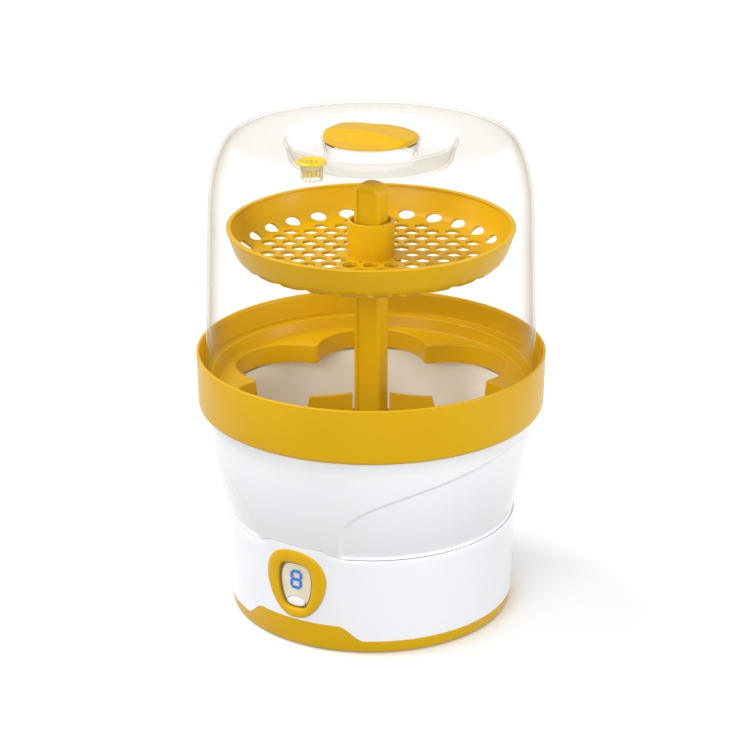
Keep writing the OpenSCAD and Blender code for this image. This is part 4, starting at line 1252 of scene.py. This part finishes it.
@dataclass
class Tank:
    """Water tank, heating plate and the heater parts under it."""

    finishes: Finishes

    def build(self) -> None:
        """Builds the tank and the plate, and dresses the parts below."""
        rim = top_of("water_tank")
        low = foot_of("water_tank")
        floor = low + 7.4
        bowl = revolve(fillet([
            (46.0, floor - 3.8, .5), (46.0, floor, 1.2), (86.5, floor + 1.2, 12.0), (96.4, floor + 12.0, 10.0),
            (101.5, rim, 1.4), (108.3, rim, .6), (108.3, rim - 2.4, .5), (103.4, rim - 2.4, .8),
            (98.6, floor + 11.0, 10.0), (88.4, floor - 1.2, 10.0), (50.5, floor - 2.2, .8),
            (50.5, floor - 3.8, .5)], 8))
        boss = revolve([(1.7, low), (4.2, low), (4.2, floor - 1), (1.7, floor - 1)], 24)
        bosses = [shifted(boss, *c) for c in ring(60, 4, turn=45)]
        make_piece("water_tank_bowl", joined(bowl, *bosses), self.finishes.get("cream"), Body.BASE,
                   ["water_tank"])
        plate_low = top_of("heating_plate") - 2.2
        disc = revolve(fillet([
            (0.0, plate_low, 0), (50.4, plate_low, .4), (50.4, plate_low + 1.5, .5), (40.0, plate_low + 1.6, 1.0),
            (38.0, plate_low + 2.2, 1.2), (36.0, plate_low + 1.6, 1.2), (14.0, plate_low + 1.6, 2.0),
            (12.0, plate_low + 1.1, 2.0), (0.0, plate_low + 1.1, 0)], 5), 160)
        stud_top = plate_low + 0.1
        stud = revolve([(0.0, 65.7), (1.8, 65.7), (2.0, 66.1), (2.0, stud_top), (0.0, stud_top)], 24)
        studs = [shifted(stud, y=y) for y in (-22, 22)]
        make_piece("heating_plate_disc", joined(disc, *studs), self.finishes.get("steel"), Body.BASE,
                   ["heating_plate"])
        for node, key in (("plate_seal", "silicone"), ("plate_clamp", "zinc"), ("clamp_screws", "zinc"),
                          ("heating_element", "sheath"), ("sensor_bracket", "zinc"), ("bracket_nuts", "zinc"),
                          ("thermostat", "black"), ("temperature_sensor", "brass"), ("thermal_fuse", "ceramic"),
                          ("heat_shield", "zinc")):
            dress(node, self.finishes.get(key), 0.15)


@dataclass
class Electrics:
    """Boards and the parts on them."""

    finishes: Finishes

    def build(self) -> None:
        """Dresses the boards and their parts."""
        for node, key in (("control_board", "board"), ("relay", "relay"), ("transformer", "tape"),
                          ("capacitor", "black"), ("terminal_block", "terminal"), ("board_screws", "zinc"),
                          ("display_board", "board"), ("display_screws", "zinc"), ("digit_display", "key"),
                          ("button_switch", "black")):
            dress(node, self.finishes.get(key), 0.2)


# ---------------------------------------------------------------- studio


@dataclass
class Studio:
    """Camera, floor and soft lights."""

    azimuth: float = 30.5
    pitch: float = 21.23
    distance: float = 1.574
    height: float = 0.774
    lens: float = 119.04
    shift: float = 4 / 750
    floor_half: float = 8.0
    sky: float = 0.78
    sun: float = 1.45
    front: float = 21.5
    side: float = 9.0

    def build(self) -> None:
        """Sets up the view and the light."""
        self.camera()
        self.floor()
        self.lights()

    def camera(self) -> None:
        """Camera in front and to the right, looking a little down."""
        turn, tilt = math.radians(self.azimuth), math.radians(self.pitch)
        data = bpy.data.cameras.new("view")
        data.lens = self.lens
        data.sensor_width = 36.0
        data.shift_x = self.shift
        camera = bpy.data.objects.new("view", data)
        camera.location = (self.distance * math.sin(turn), -self.distance * math.cos(turn), self.height)
        ahead = Vector((-math.sin(turn) * math.cos(tilt), math.cos(turn) * math.cos(tilt), -math.sin(tilt)))
        camera.rotation_mode = "QUATERNION"
        camera.rotation_quaternion = ahead.to_track_quat("-Z", "Y")
        bpy.context.scene.collection.objects.link(camera)
        bpy.context.scene.camera = camera

    def floor(self) -> None:
        """Plain pale floor."""
        half = self.floor_half
        corners = [(-half, -half, 0), (half, -half, 0), (half, half, 0), (-half, half, 0)]
        data = bpy.data.meshes.new("floor")
        data.from_pydata(corners, [], [(0, 1, 2, 3)])
        data.materials.append(Finish("paper_white", "#FFFFFF", "#FDFDFD", 0.9, mottle_mm=400.0).make())
        floor = bpy.data.objects.new("floor", data)
        bpy.context.scene.collection.objects.link(floor)
        # The floor's white doesn't fill the shade under the bowl
        floor.visible_diffuse = False

    def lights(self) -> None:
        """Soft sun from the left, two broad panels in front and a surround that is darker below."""
        scene = bpy.context.scene
        scene.view_settings.view_transform = "Standard"
        world = bpy.data.worlds.new("surround")
        world.use_nodes = True
        tree = world.node_tree
        sky = tree.nodes["Background"]
        sky.inputs["Strength"].default_value = self.sky
        place = add_node(tree, "ShaderNodeTexCoord").outputs["Generated"]
        height = add_node(tree, "ShaderNodeSeparateXYZ", links={"Vector": place}).outputs["Z"]
        shade = add_node(tree, "ShaderNodeMapRange",
                         {"From Min": -0.6, "From Max": 0.7, "To Min": 0.28, "To Max": 1.0}, {"Value": height})
        tree.links.new(shade.outputs["Result"], sky.inputs["Color"])
        scene.world = world
        sun = bpy.data.lights.new("sun", "SUN")
        sun.energy = self.sun
        sun.angle = math.radians(28)
        self.place_light(sun, (-0.8, -0.25, 1.3), (0, 0, 0))
        self.panel_light("front", (0.25, -1.9, 0.95), (0, 0, 0.2), 1.5, 0.9, self.front)
        self.panel_light("side", (1.5, 0.3, 0.32), (0, 0, 0.2), 0.4, 0.5, self.side)

    def panel_light(
        self, name: str, place: Point3, aim: Point3, width: float, height: float, power: float,
    ) -> None:
        """Adds a flat light that faces a point."""
        data = bpy.data.lights.new(name, "AREA")
        data.shape = "RECTANGLE"
        data.size, data.size_y = width, height
        data.energy = power
        self.place_light(data, place, aim)

    def place_light(self, data: bpy.types.Light, place: Point3, aim: Point3) -> None:
        """Puts a light at a place and turns it to a point."""
        light = bpy.data.objects.new(data.name, data)
        light.location = place
        light.rotation_mode = "QUATERNION"
        light.rotation_quaternion = (Vector(aim) - Vector(place)).to_track_quat("-Z", "Y")
        bpy.context.scene.collection.objects.link(light)


def main() -> None:
    """Builds the sub-assemblies in order."""
    logging.basicConfig(level=logging.INFO, format="%(name)s: %(message)s")
    finishes = Finishes()
    Studio().build()
    Casing(finishes).build()
    Display(finishes).build()
    Tank(finishes).build()
    Electrics(finishes).build()
    Rack(finishes).build()
    Stand(finishes).build()
    Tray(finishes).build()
    Dome(finishes).build()


if __name__ == "__main__":
    main()
